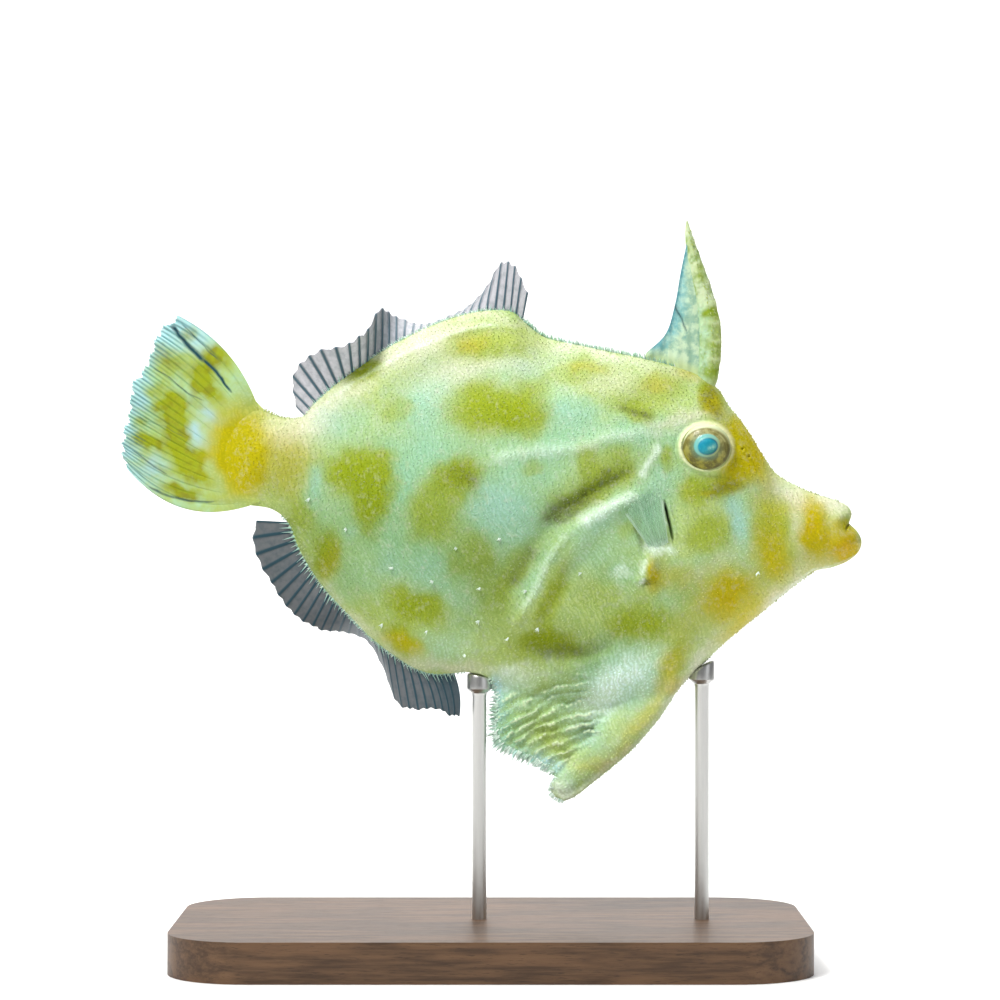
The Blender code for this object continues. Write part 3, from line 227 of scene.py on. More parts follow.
OLIVE = [
    (0.2, 82.5, 7, 3.7, 0, 0.95), (5, 81.6, 3, 4.2, 0, 0.7), (-19.5, 72.6, 4.9, 3.6, 5, 1),
    (-17.6, 68.2, 3, 4.4, -14, 1), (-8.6, 67, 3.6, 4.8, -25, 0.8), (-4.8, 72.3, 4, 3.1, 10, 0.95),
    (10.5, 87.4, 4.6, 1.5, 22, 0.45), (-1.8, 92.3, 5.4, 2.4, 3, 0.75), (5, 92.6, 3.6, 1.6, -8, 0.45),
    (-19, 87.3, 3, 1.8, 32, 1), (-24.3, 60.8, 2.4, 4.2, -10, 0.95), (-11, 53.1, 4.7, 3.2, -12, 0.95),
    (-13, 47.7, 3.6, 2.2, -28, 1), (24.4, 85.2, 4.2, 2.6, 12, 0.6), (21, 82.8, 3.2, 1.3, -12, 0.7),
    (14.6, 88.3, 3.4, 1.5, 0, 0.35), (14.8, 73.9, 2.2, 3.8, -10, 0.7), (19.6, 74.2, 2, 3.8, -6, 0.65),
    (26, 75.4, 1.3, 1.6, 0, 0.75), (33.3, 84, 1.7, 1.9, 0, 0.9), (34.4, 71.3, 4.4, 1.8, 6, 0.9),
    (29.2, 69.8, 2.4, 2.8, 0, 0.8), (31.5, 63.6, 3.4, 3.2, 0, 0.8), (22.2, 50.8, 4.2, 2.9, 0, 0.95),
    (9, 47.4, 5.2, 2, -6, 0.95), (9.2, 53, 1.7, 5, -28, 0.7), (3.2, 57.4, 1.7, 5.4, -34, 0.6),
    (-1.6, 57.6, 3, 7, 24, 0.5), (-28.6, 66.4, 1.8, 2.4, 0, 0.5), (-3, 60.5, 3.2, 3.4, 0, 0.4),
    (-13.6, 82.4, 1.9, 1.9, 0, 0.55), (6.2, 73.6, 1.9, 1.3, 0, 0.5), (37.6, 78, 1.6, 3.2, -30, 0.7),
    (41.6, 64, 2.7, 4.9, 10, 0.8), (28, 50, 3, 3.4, 0, 0.3), (27.3, 45.5, 1.7, 3, -25, 0.5),
    (-18.5, 53, 2.6, 1.6, -40, 0.35), (16.5, 55.5, 4.5, 2.5, 35, 0.35), (20.3, 64.2, 1.4, 2, -20, 0.5),
    (28.9, 55, 2.4, 1.8, 0, 0.3), (4.2, 44.8, 3, 1.2, -10, 0.35), (-0.6, 45.4, 2.6, 1.4, 0, 0.3),
    (14.5, 70.2, 6.2, 1.9, 27, 0.75), (9.4, 55.6, 1.5, 4.6, -25, 0.6), (5.6, 47, 4, 1.8, 0, 0.4),
    (53.5, 64.4, 1.2, 1.5, 10, 1), (54.3, 62.9, 0.7, 1.6, 10, 0.9), (10.5, 32.6, 5, 1.7, -22, 0.4),
    (7.4, 41.6, 1.8, 1.6, 0, 0.4), (26.2, 44.6, 1.6, 3, -20, 0.5), (-27.4, 65.4, 1.8, 4.6, 24, 0.45),
]
GOLD = [
    (-37.4, 75.7, 4.4, 5.4, -6, 1), (-29.9, 73.6, 2.6, 4.4, 0, 0.5), (38.3, 75.3, 4.6, 2.8, -52, 1),
    (36.7, 75.2, 1.6, 2.6, 0, 0.8), (37.4, 78.4, 2.2, 1.8, -50, 0.9), (33.4, 83.4, 1.6, 1.9, 0, 0.8),
    (35.6, 71.2, 1.8, 1.3, 10, 0.5), (32.4, 70.3, 1.6, 0.8, 0, 0.5), (42.6, 59.6, 2.4, 3.2, 15, 0.7),
    (41, 63.4, 2, 3, 12, 0.4), (35, 54.8, 4.2, 3.1, 20, 0.85), (48.5, 64, 2, 4.3, 3, 1),
    (52.8, 61.8, 2.3, 2.4, 0, 1), (37.6, 50.6, 4.6, 1.7, 42, 0.6), (26.4, 42.4, 1.4, 4.8, -24, 0.55),
    (21.6, 34.2, 1, 4, -45, 0.4), (15.8, 29.4, 1, 3, -50, 0.3), (24.6, 86.2, 2.6, 1.2, 0, 0.25),
    (-3.1, 91.6, 2.6, 1.2, 0, 0.35), (14.6, 88.3, 2.4, 1, 0, 0.35), (23.5, 58.2, 1.2, 2, 0, 0.8),
    (26.5, 57.2, 2.6, 1.6, 0, 0.45), (43, 68, 3.4, 1.8, -10, 0.35), (30.5, 88, 2.4, 1, 0, 0.45),
    (-24.2, 59, 1.6, 2.2, -14, 0.35), (-12.8, 47.2, 2.4, 1.3, -28, 0.6), (29, 69.9, 1.5, 1.9, 0, 0.15),
    (28, 50, 2.4, 1.6, 30, 0.2),
]
# Partly the skin's own dark marks, partly painted shade in the hollows of the flank and in the groove under
# the shoulder ridge.
DARK_AND_SHADE_SPOTS = [
    (-4.6, 71.8, 2, 1.7, 0, 0.45), (34.6, 70.6, 2.6, 0.8, 4, 0.4), (10.6, 45.6, 3, 0.9, 4, 0.45),
    (32.8, 84.4, 0.9, 1, 0, 0.45), (35.6, 71, 1.3, 0.9, 0, 0.35), (33.3, 83.2, 1, 1.2, 0, 0.5),
    (14, 33.6, 1.6, 0.9, 30, 0.5), (28.2, 42, 0.6, 2, -35, 0.2), (22.9, 56.5, 0.6, 0.4, 0, 0.6),
    (9.2, 67, 1.6, 1, 20, 0.95), (12.4, 68.8, 1.7, 1, 35, 0.9), (17, 71.6, 2.4, 0.9, 30, 0.6),
]
BLUE = [
    (0.8, 67.4, 4, 3.6, 0, 0.85), (4.6, 65.2, 2.2, 2, 0, 0.5), (-26.3, 70.9, 1.3, 1.8, 20, 0.7),
    (36.2, 66, 1.2, 3.2, 12, 0.8), (0.9, 40.1, 1.1, 2, 0, 1), (8, 29.6, 2, 0.9, -20, 0.9),
    (18.9, 57.6, 1, 0.8, 0, 0.5), (-9, 58.6, 2.6, 2, 0, 0.4), (-4.2, 54, 2, 2, 0, 0.3),
    (1, 35, 0.9, 3, 0, 0.6), (24, 72, 1.6, 2, 0, 0.35), (13, 80.8, 4, 1.6, 0, 0.25),
    (-9.4, 81.5, 1.5, 3.8, 0, 0.25), (-14.8, 59.3, 1.7, 1.6, 0, 0.5), (-21.4, 64.8, 1.2, 1.1, 0, 0.5),
    (16, 66.2, 3.4, 1.2, 28, 0.4), (-24.2, 80.6, 1.8, 1.2, 20, 0.35),
]
CREAM = [
    (-28, 80.3, 5, 2.4, 32, 0.9), (-22, 84.4, 5, 1.4, 36, 0.55), (-11.2, 91.8, 7, 1.7, 25, 1),
    (-6.5, 88, 4.5, 3, 20, 0.4), (45.3, 69.2, 4.6, 1.5, -18, 0.85), (51, 67.6, 2.8, 1.5, -12, 0.9),
    (42.5, 53, 8.5, 1.2, 43, 0.8), (29.8, 42.6, 5.5, 0.8, 52, 0.8), (17.4, 28.9, 8, 0.6, 40, 0.6),
    (38.6, 81.4, 4, 0.5, -62, 0.7), (30.6, 80.9, 3.6, 0.8, 8, 0.7), (26, 79.7, 2.6, 0.9, 0, 0.5),
    (29, 88, 4.5, 1, -15, 0.4), (14, 91.2, 9, 0.9, -9, 0.6), (3, 95.6, 6, 0.8, -8, 0.5),
    (-2, 88, 7, 1.3, 8, 0.45), (-8, 43.9, 7, 0.8, -3, 0.6), (-20, 51.4, 9, 0.7, -47, 0.5),
    (-32.5, 79, 3, 2, 10, 0.6), (19, 86.5, 5, 1.6, -6, 0.4), (45.6, 63.6, 1, 4.6, 8, 0.5),
    (33, 59, 4, 1.2, 30, 0.3), (10.8, 24.8, 1.4, 0.9, 0, 0.4), (46, 56.5, 4, 0.9, 36, 0.6),
]
RUSTY = [
    (52.9, 61.8, 1.6, 2, 0, 0.55), (48.2, 65, 1, 2.2, 0, 0.25), (38.6, 74.6, 1.2, 1.2, 0, 0.1),
    (-4.2, 91.4, 1.4, 0.8, 0, 0.15), (24.4, 86.2, 1.4, 0.8, 0, 0.15), (35.6, 53.6, 1.6, 1.2, 0, 0.15),
]
# Pale patches: partly the skin's own pale patches, partly painted highlights on the swellings of the flap.
SHINE = [
    (18.6, 41.6, 4.4, 2.3, 38, 0.95), (16.4, 38.6, 2.8, 1.8, 38, 0.85), (18.8, 57.6, 1.2, 0.8, 15, 0.6),
    (22, 56.8, 0.6, 0.45, 0, 0.9), (3.6, 43.4, 2, 1, 20, 0.5), (24.9, 61, 2, 0.55, 0, 0.95),
    (23.2, 61.5, 0.8, 1.2, 20, 0.9), (26.8, 61.2, 0.8, 0.6, 20, 0.8), (3.5, 41.5, 2.6, 1.6, 20, 0.45),
    (10.6, 25.6, 1.6, 1.2, 0, 0.55),
]
# Broad parts of the flank that are darker (below 0) or paler (above 0) than the rest: painted shade and
# painted light of the flank's relief, partly also the fish's own darker and paler patches.
SHADE_AND_LIGHT_TONES = [
    (-15, 63, 13, 8, -20, -0.8), (0, 62, 6, 9, -25, -0.6), (-30, 73, 5, 5, 0, -0.45),
    (13, 69.6, 7, 2.6, 28, -0.8), (12, 48.5, 8, 3, 8, -0.6), (24, 48, 5, 4, 0, -0.15),
    (25.5, 44.5, 2.6, 3.4, -20, 0.4), (8, 86, 6, 4, 0, 0.35), (17, 55, 6, 4, 50, -0.3),
    (0, 84.5, 16, 3, 3, 0.3), (6, 90.5, 14, 2.6, -5, 0.35), (-10, 90.5, 8, 3, 25, -0.25),
    (5, 41.5, 7, 4, 10, 0.65), (11, 29.5, 7, 3.5, 40, 0.7), (18.2, 40, 5.6, 3.6, 40, 0.9),
    (38, 51.5, 9, 2.6, 42, 0.6), (44.2, 67.2, 4.5, 2.8, -15, 0.4), (31, 62, 4, 6, 0, 0.3),
    (-22.5, 57.5, 3.5, 5.5, 50, -0.5), (-5, 47, 8, 3, -10, 0.4), (22, 35.5, 1.8, 7, -43, 0.8),
    (29, 57, 5, 3, 20, -0.45), (-27, 63, 4.5, 6, 0, -0.4), (7.5, 62.5, 3.2, 3.6, 0, -0.45),
    (1, 54.5, 4, 6, -20, -0.4), (15.5, 45.4, 5, 1.8, 15, -0.45), (13.5, 44.5, 3.5, 2.5, 10, -0.5),
    (-2, 50.5, 5, 3, 0, -0.35), (24.5, 75, 3.5, 3, 0, -0.4), (7, 45, 3, 2, 0, -0.3),
]
# Where the scales run together in wavy rows, and where the painted shade between the scales and the painted
# highlight on them are stronger.
JOINED_SCALES = [(15.0, 54.0, 12.0, 8.0, 30, 1.0), (20.0, 42.0, 8.0, 6.0, 40, 0.8), (-10.0, 57.0, 12.0, 7.0, -30, 0.5)]
# Pale and dark lines of the skin: a line of points, its half-width and its strength. The pale lines are
# partly the skin's own pale lines, partly painted highlights along the crests of its ridges.
PALE_AND_HIGHLIGHT_LINES = [
    ([(11.7, 64.1), (9.3, 61.3), (7.4, 57.5), (6, 54.5), (4.4, 51.4)], 0.6, 0.3), ([(21.8, 69.8),
    (20.2, 69), (18.6, 68.4), (15, 66.5), (12.5, 64.9)], 1, 0.75), ([(25, 77.2), (24.4, 75.8), (23.3, 74),
    (22, 71.6)], 0.5, 0.75), ([(24.9, 70), (23.4, 68.6), (21.6, 67.8)], 0.5, 0.4), ([(-2.5, 74), (2, 75.2),
    (7, 76.1), (13, 76.4), (17.5, 78.2), (25, 78.8)], 1, 0.38), ([(22.7, 60.3), (22.3, 58.6), (22.2, 57.4)],
    0.35, 0.8), ([(-28.2, 80.9), (-24.3, 83.6), (-19.9, 86.8), (-16.2, 88.9), (-10.3, 92), (-4.5, 94.2),
    (0, 94.9), (4.2, 94.4)], 0.3, 0.4), ([(25.4, 69), (25.6, 66.8), (26.2, 64.4)], 0.3, 0.5),
    ([(55.3, 62.2), (54.6, 60.8), (53.2, 59.8), (50.6, 58.8), (48.6, 58.4), (46.4, 57), (41, 52.7)], 0.2,
    0.4),
]
# Partly the skin's own dark marks, partly painted shade in the grooves of the flank and along the pectoral
# fin's edge.
DARK_AND_SHADE_LINES = [
    ([(7.6, 66.4), (9.6, 67), (11.4, 67.8), (13.6, 69.2), (15, 70.2)], 1, 0.6), ([(13, 69), (16, 71),
    (18.4, 72.2), (20.6, 73.2)], 1, 0.5), ([(18.8, 82.6), (21, 81.9), (24.6, 80.9)], 0.5, 0.55),
    ([(6.6, 62.2), (4.6, 59), (3, 55.8)], 1.3, 0.35), ([(21, 65.4), (22, 63), (22.3, 61.4)], 0.35, 0.6),
    ([(30.6, 70.2), (33.4, 69.8), (36.6, 70.8)], 0.8, 0.35),
]
TAIL_SPOTS = [
    (-40.8, 89.8, 1.6, 2.2, -40, 0.9), (-42.6, 86.4, 2.5, 1.5, -42, 0.95), (-47.6, 89, 2.2, 1.4, -40, 0.6),
    (-44.9, 93.1, 1.2, 1.1, 0, 0.5), (-47.7, 82.9, 2, 1.9, 0, 1), (-47.3, 79.2, 1.6, 2.8, 8, 1),
    (-45.5, 75.2, 2.4, 1.5, -30, 1), (-44.4, 72.9, 2.7, 1.3, -20, 0.8), (-51.4, 77.3, 2.3, 1.2, -20, 0.9),
    (-46.4, 70, 2.6, 0.9, -10, 0.9), (-50.4, 86, 1.2, 1.2, -30, 0.4), (-44, 83.8, 1, 1, 0, 0.3),
    (-52, 80.6, 1.2, 0.9, 0, 0.5), (-49.3, 73.2, 1.6, 0.7, -15, 0.4),
]
TAIL_CLEAR = [
    (-42.2, 82, 2, 0.9, -32, 0.9), (-44.3, 79.1, 1.9, 1.2, -35, 1), (-50.4, 73.7, 1.6, 1.2, -20, 0.8),
    (-44, 92, 1.2, 1, -40, 0.7), (-48.6, 93.4, 2.6, 1.8, -40, 0.8), (-46.2, 95.2, 1.6, 1.2, -40, 0.8),
]
TAIL_FOLDS = [
    ([(-48.4, 95.2), (-46.8, 93.6), (-45.6, 92.3), (-44.4, 90.9), (-42.6, 89.4)], 0.38, 1), ([(-43.4, 90.4),
    (-41.4, 88.2), (-39.8, 86.2), (-38.6, 84.6)], 0.24, 1), ([(-46.8, 95.6), (-44.6, 93.6), (-42.8, 91.8),
    (-40.4, 89.4)], 0.14, 0.6), ([(-51.4, 89.4), (-49.4, 87.9), (-48, 86.9), (-45.3, 84.9), (-42.4, 83.5)],
    0.15, 0.55), ([(-54, 81.7), (-51, 80.5), (-48.4, 79.4), (-45, 77.9)], 0.11, 0.4), ([(-52, 71.2),
    (-47, 69.1), (-43.6, 68.6), (-40.6, 69)], 0.18, 0.7), ([(-54.6, 76.4), (-51.6, 74.6), (-48, 72.6)],
    0.14, 0.6),
]
SPINE_SPOTS = [
    (33.2, 96.7, 1.1, 1, 0, 1), (33.5, 94, 1.1, 0.9, 0, 0.55), (33.6, 91.4, 1.1, 1, 0, 0.95),
    (33.5, 88.2, 1.3, 1.1, 0, 0.9), (31.2, 103, 0.9, 1, 0, 0.8), (30, 107.2, 0.6, 0.6, 0, 0.5),
    (31.2, 91.5, 0.8, 1, 0, 0.5), (30.8, 89.6, 0.7, 0.6, 0, 0.4),
]
SPINE_BANDS = (98.1, 95.3, 92.6, 90.0)
WEB_FOLD = [([(27.5, 98.4), (28.2, 96.6), (29.4, 93.8)], 0.13, 1.0)]
# Small pale tags of skin on the flank, as (x, z).
TAGS = [
    (-27.1, 68.9), (-21.5, 64.5), (-14.7, 58.7), (-8.7, 56.8), (-9.6, 49.2), (2.5, 48.2), (1.3, 63),
    (-1.7, 55.7), (-3.9, 45.7), (-1.9, 50.8), (5.2, 55.3), (13.2, 58), (39.7, 58), (-16.3, 50.2),
    (6.9, 49.7), (-5.2, 61.7),
]

BASE_LENGTH = 94.0
BASE_WIDTH = 54.0
BASE_HEIGHT = 6.0
BASE_CORNER = 12.0
BASE_EDGE = 1.2
ROD_RADIUS = 1.1
SEAT_RADIUS = 1.9
SEAT_HEIGHT = 4.2
RODS = {"stand_rod_rear": (-1.75, 44.2), "stand_rod_front": (31.6, 45.6)}

SKIN_STEP = 0.42
EDGE_STEP = 0.36
FLAP_STEP = 0.3
# The skin's scales stand in rows that sway a little: pitch of the rows and along them.
ROW_PITCH = 0.68
SCALE_PITCH = 0.56
ROWS_TURN = math.radians(25.0)
ROW_SWAY = 1.5
ROW_WAVE = 0.2
ROW_WANDER = 2.3
ROW_PHASES = (0.7, 2.1)
# Rows of points inside the rim: turns of its quarter circle in degrees, then plain depths.
EDGE_TURNS = (20, 38, 55, 72, 90)
EDGE_DEPTHS = (0.7, 1.0)
# Radii of the rings of points round an eye.
EYE_RINGS = (0.6, 1.4, 2.1, 2.7, 3.1, 3.26, 3.36, 3.46, 3.56, 3.64, 3.72, 3.8, 3.88, 3.96, 4.04, 4.14,
             4.26, 4.4, 4.56, 4.72, 4.9, 5.1)
FLAP_CORNER = (20, 43)
UNWRAP_LOW = (-41.5, 22.5)
UNWRAP_HIGH = (57.0, 99.0)
UNWRAP_STEP = (0.5, 0.3)
# Length and width of the small cones that stand on the skin, how they lean, and a tuft's patch on the unwrap.
SPINULE_SIZE = (0.27, 0.13)
SPINULE_LEAN = (-0.62, 0, -0.30)
TAG_SIZE = (0.75, 0.11)
BARB_SIZE = (0.62, 0.12)
PATCH_RADIUS = 0.0015


def held(values):
    """Values kept between 0 and 1."""
    return np.clip(values, 0, 1)


def bell(away, spread, power=2):
    """1 at no distance, falling to 0 beyond the spread."""
    return np.exp(-((away / spread) ** power))


def smooth_line(points, spacing):
    """Even samples of a centripetal Catmull-Rom line through the points."""
    p = np.array(points, float)
    p = np.vstack([2 * p[0] - p[1], p, 2 * p[-1] - p[-2]])
    dense = []
    for a, b, c, d in zip(p, p[1:], p[2:], p[3:]):
        steps = [np.linalg.norm(e - s) ** 0.5 for s, e in ((a, b), (b, c), (c, d))]
        k0, k1, k2, k3 = np.cumsum([0.0, *steps])
        t = np.linspace(k1, k2, 24, endpoint=False)[:, None]
        ab = ((k1 - t) * a + (t - k0) * b) / (k1 - k0)
        bc = ((k2 - t) * b + (t - k1) * c) / (k2 - k1)
        cd = ((k3 - t) * c + (t - k2) * d) / (k3 - k2)
        abc = ((k2 - t) * ab + (t - k0) * bc) / (k2 - k0)
        bcd = ((k3 - t) * bc + (t - k1) * cd) / (k3 - k1)
        dense.append(((k2 - t) * abc + (t - k1) * bcd) / (k2 - k1))
    dense = np.vstack([*dense, p[-2:-1]])
    along = np.concatenate([[0.0], np.cumsum(np.linalg.norm(np.diff(dense, axis=0), axis=1))])
    wanted = np.linspace(0, along[-1], max(2, round(along[-1] / spacing) + 1))
    return np.column_stack([np.interp(wanted, along, dense[:, k]) for k in range(dense.shape[1])])


def height_at(points):
    line = smooth_line(points, 0.2)
    line = line[np.argsort(line[:, 0])]
    return lambda x: np.interp(x, line[:, 0], line[:, 1])


back_at = height_at(BACK[:-1])
keel_at = height_at(KEEL)
breadth_at = height_at(BREADTH)


def grain(x, z, cell, seed):
    """Smooth random heights between -1 and 1, one draw for each cell."""
    table = np.random.default_rng(seed).uniform(-1, 1, (256, 256))
    u, v = x / cell + 97.3, z / cell + 31.7
    i, j = np.floor(u).astype(int), np.floor(v).astype(int)
    f, g = u - i, v - j
    f, g = f * f * (3 - 2 * f), g * g * (3 - 2 * g)
    corner = [table[(i + a) % 256, (j + b) % 256] for a in (0, 1) for b in (0, 1)]
    low = corner[0] * (1 - g) + corner[1] * g
    high = corner[2] * (1 - g) + corner[3] * g
    return low * (1 - f) + high * f


def rough(x, z, cell, seed, layers=3):
    """Several sizes of grain, one over the other."""
    return sum(grain(x, z, cell / 2**k, seed + k) / 1.8**k for k in range(layers))


def outward(line):
    """Unit normals of an open line, to the left of its direction."""
    run = np.gradient(line, axis=0)
    run /= np.linalg.norm(run, axis=1)[:, None]
    return np.column_stack([-run[:, 1], run[:, 0]])


def near_line(points, line, closed=True):
    """Each point's distance to a line, and its share of the way along it."""
    ends = np.roll(line, -1, axis=0) if closed else line[1:]
    starts = line if closed else line[:-1]
    run = ends - starts
    length = np.linalg.norm(run, axis=1)
    passed = np.concatenate([[0.0], np.cumsum(length)[:-1]])
    best = np.full(len(points), np.inf)
    share = np.zeros(len(points))
    for start, vector, size, before in zip(starts, run, length, passed):
        t = held((points - start) @ vector / size**2)
        away = np.hypot(*(points - start - t[:, None] * vector).T)
        closer = away < best
        best[closer] = away[closer]
        share[closer] = (before + t[closer] * size) / length.sum()
    return best, share


def from_line(points, line):
    """Each point's distance from an open line."""
    return near_line(points, line, closed=False)[0]


def inside(points, loop):
    """Which points lie in a closed loop."""
    found = np.zeros(len(points), bool)
    for (ax, az), (bx, bz) in zip(loop, np.roll(loop, -1, axis=0)):
        if az == bz:
            continue
        between = (az > points[:, 1]) != (bz > points[:, 1])
        found ^= between & (points[:, 0] < (bx - ax) * (points[:, 1] - az) / (bz - az) + ax)
    return found


def body_outline(spacing):
    """The closed side view of the body, flap and lips, with the flap's hem a little ragged."""
    lines = [smooth_line(stroke, spacing) for stroke in (BACK, THROAT, STUB, FLAP_EDGE, BELLY, TAIL_ROOT)]
    hem = lines[3]
    ragged = 0.32 * rough(hem[:, 0] * 3 + hem[:, 1], hem[:, 1] * 0, 1.1, 5, 2)
    fade = np.minimum(np.arange(len(hem)), np.arange(len(hem))[::-1]) / 4
    lines[3] = hem - outward(hem) * (ragged * held(fade))[:, None]
    return np.vstack([line[:-1] for line in lines])


OUTLINE = body_outline(EDGE_STEP)


def edge_of(points):
    """Each point's distance from the outline."""
    return near_line(points, OUTLINE)[0]


PELVIS_LINE = smooth_line(PELVIS, 0.5)
TAIL_ROOT_LINE = smooth_line(TAIL_ROOT, 0.5)
GILL_LINE = smooth_line(GILL_SLIT, 0.2)
MOUTH_LINE = smooth_line(MOUTH, 0.2)


def rounded(distance, radius):
    """From 0 on an edge to 1 at the radius, along a quarter circle."""
    return np.sqrt(held(1 - (1 - held(distance / radius)) ** 2))


def hills(x, z, table):
    """Height of a table of soft swellings and hollows."""
    total = np.zeros_like(x)
    for cx, cz, long, short, turn, height in table:
        c, s = math.cos(math.radians(turn)), math.sin(math.radians(turn))
        along = (c * (x - cx) + s * (z - cz)) / long
        across = (c * (z - cz) - s * (x - cx)) / short
        total += height * np.exp(-(along**2) - across**2)
    return total


def thick_body(x, z):
    """Half-width of the body without its flap."""
    top = back_at(x)
    keel = keel_at(x)
    middle = np.clip(2 * (z - keel) / np.maximum(top - keel, 0.1) - 1, -1, 1)
    return breadth_at(x) * (1 - middle**2) ** FULLNESS


def flap_rows(points):
    """Place along and across the flap's rows of scales, with the rows' bend taken out."""
    turn = math.radians(FLAP_ROWS_TURN)
    x, z = (points - FLAP_ROWS_AT).T
    along = math.cos(turn) * x + math.sin(turn) * z
    across = math.cos(turn) * z - math.sin(turn) * x
    return along, across + FLAP_ROW_BEND * along**2


def row_strength(points, edge):
    """Where the flap's rows of scales stand, from 0 to 1."""
    along, across = flap_rows(points)
    from_bone = from_line(points, PELVIS_LINE[:, :2])
    here = held((FLAP_ROW_REACH - np.abs(along)) / 3.5) * np.clip((from_bone - 1.2) / 2.0, 0.08, 1)
    return here * held((FLAP_ROWS_SPREAD - np.abs(across)) / 1.6) * held(edge / 0.5)


def scale_rows(points, edge):
    """Height of the flap's rows of scales: wavy, broken crests with sharp upper edges."""
    along, across = flap_rows(points)
    waver = 0.55 * rough(along * 0.8, across, 3.0, 21, 3) + 0.17 * rough(along, across, 0.9, 27, 2)
    phase = (across + waver) / FLAP_ROW_PITCH
    saw = phase - np.floor(phase)
    crest = held(1 - saw / 0.16) + held((saw - 0.25) / 0.75) ** 1.8 * (saw > 0.16)
    broken = 0.78 + 0.5 * rough(along * 0.9, across * 1.8, 1.5, 33, 2) + 0.25 * np.sin(along * 9 + 3 * waver)
    return row_strength(points, edge) * FLAP_ROW_HEIGHT * (2.2 * crest * np.clip(broken, 0.1, 1.5) - 0.8)


def creases(points):
    """Height of the long, narrow folds of the skin."""
    total = np.zeros(len(points))
    for line, half, height in CREASES:
        away, share = near_line(points, smooth_line(line, 0.8), closed=False)
        taper = held(np.minimum(share, 1 - share) * 6)
        total += height * bell(away, half) * (0.1 + 0.9 * taper)
    return total


def eye_base():
    """Half-width of the head where the eye sits, without its lid."""
    x, z = np.array([EYE_AT[0]]), np.array([EYE_AT[1]])
    return float((thick_body(x, z) + hills(x, z, MODELLING))[0])


EYE_BASE = eye_base()


def half_width(points, edge):
    """Half-width of the body at points of its side view."""
    x, z = points[:, 0], points[:, 1]
    core = thick_body(x, z)
    from_bone, share = near_line(points, PELVIS_LINE[:, :2], closed=False)
    bone = np.interp(share, np.linspace(0, 1, len(PELVIS_LINE)), PELVIS_LINE[:, 2])
    ridge = bone * np.sqrt(held(1 - (from_bone / (PELVIS_SPREAD * bone)) ** 2))
    sheet = FLAP_EDGE_HALF + (FLAP_ROOT_HALF - FLAP_EDGE_HALF) * held(edge / 9.0)
    in_flap = 1 / (1 + np.exp((z - 52.0) / 2.0))
    flap = (sheet**3 + ridge**3) ** (1 / 3) * rounded(edge, FLAP_ROUNDING) * in_flap
    width = (core**4 + flap**4) ** 0.25
    soft = held(core / 2.5)
    width += (hills(x, z, MODELLING) + hills(x, z, FOLDS) + creases(points)) * soft
    width += 0.09 * rough(x, z, 6.0, 41, 3) * soft + scale_rows(points, edge)
    lips = held((x - 50.0) / 3.0)
    width *= 1 - lips + lips * rounded(edge, LIP_ROUNDING)
    width = np.maximum(width, EDGE_RADIUS * rounded(edge, EDGE_RADIUS))
    width = np.minimum(width, 2.4 * np.sqrt(np.clip(edge, 0, None)) + 0.3 * edge)
    from_tail = from_line(points, TAIL_ROOT_LINE)
    width *= 0.30 + 0.70 * held(from_tail / 5.5) ** 1.3
    for line, half, depth in ((GILL_LINE, GILL_HALF, GILL_DEPTH), (MOUTH_LINE, MOUTH_HALF, MOUTH_DEPTH)):
        away, share = near_line(points, line, closed=False)
        mouth = line is MOUTH_LINE
        taper = np.clip(np.sin(math.pi * held(share)) * 1.6 + mouth * (1 - share), 0.02, 1)
        cut = depth * taper * bell(away, half * (0.4 + 0.6 * taper), 4)
        rim = (0.05 if mouth else 0.14) * bell(away - 2.4 * half, 1.3 * half) * taper
        width = np.maximum(width - cut + rim * soft, 0.15 * rounded(edge, 0.3))
    from_eye = np.hypot(x - EYE_AT[0], (z - EYE_AT[1]) * EYE_SQUASH)
    bearing = np.arctan2(z - EYE_AT[1], x - EYE_AT[0])
    upper = 0.5 + 0.5 * np.sin(bearing)
    pleats = 1 + 0.07 * np.sin(19 * bearing) + 0.05 * np.sin(31 * bearing + 1)
    crest = LID_RADIUS + 0.22 * upper + 0.03 * np.sin(5 * bearing)
    spread = np.where(from_eye < crest, LID_SPREAD, LID_SPREAD * (1.1 + 1.2 * upper))
    width += LID_HEIGHT * pleats * (0.85 + 0.3 * upper) * bell(from_eye - crest, spread)
    behind = np.clip(0.35 - 0.65 * np.cos(bearing + 0.5), 0.1, 1)
    width -= 0.22 * bell(from_eye - 4.65, 0.30) * (1.1 - 0.5 * upper) * behind
    width += 0.08 * bell(from_eye - 5.2, 0.26) * behind
    reach = held(np.hypot(x - EYE_AT[0], z - EYE_AT[1]) / (EYE_RADIUS + BOWL_GAP))
    bowl = EYE_BASE + EYE_RISE - BOWL_SUNK - (EYE_HALF_DEPTH + BOWL_GAP) * np.sqrt(1 - reach**2)
    width = np.where(from_eye < LID_RADIUS - 0.44 + 0.1 * upper, np.minimum(width, bowl), width)
    for cx, cz in NOSTRILS:
        away = np.hypot(x - cx, z - cz)
        width -= NOSTRIL_DEPTH * bell(away, NOSTRIL_RADIUS, 4)
        width += 0.06 * bell(away - 0.45, 0.17)
    return width


def spots(x, z, table, softness=0.22, seed=60):
    """Soft-edged, irregular blotches, from 0 to 1."""
    wx = x + 0.9 * rough(x, z, 5.0, seed) + 0.38 * rough(x, z, 1.3, seed + 9, 2)
    wz = z + 0.9 * rough(x, z, 5.0, seed + 20) + 0.38 * rough(x, z, 1.3, seed + 29, 2)
    clear = np.ones_like(x)
    for cx, cz, long, short, turn, strength in table:
        c, s = math.cos(math.radians(turn)), math.sin(math.radians(turn))
        along = (c * (wx - cx) + s * (wz - cz)) / long
        across = (c * (wz - cz) - s * (wx - cx)) / short
        edge = np.hypot(along, across) - 1.0
        clear *= 1 - strength / (1 + np.exp(np.clip(edge / softness, -30, 30)))
    return 1 - clear


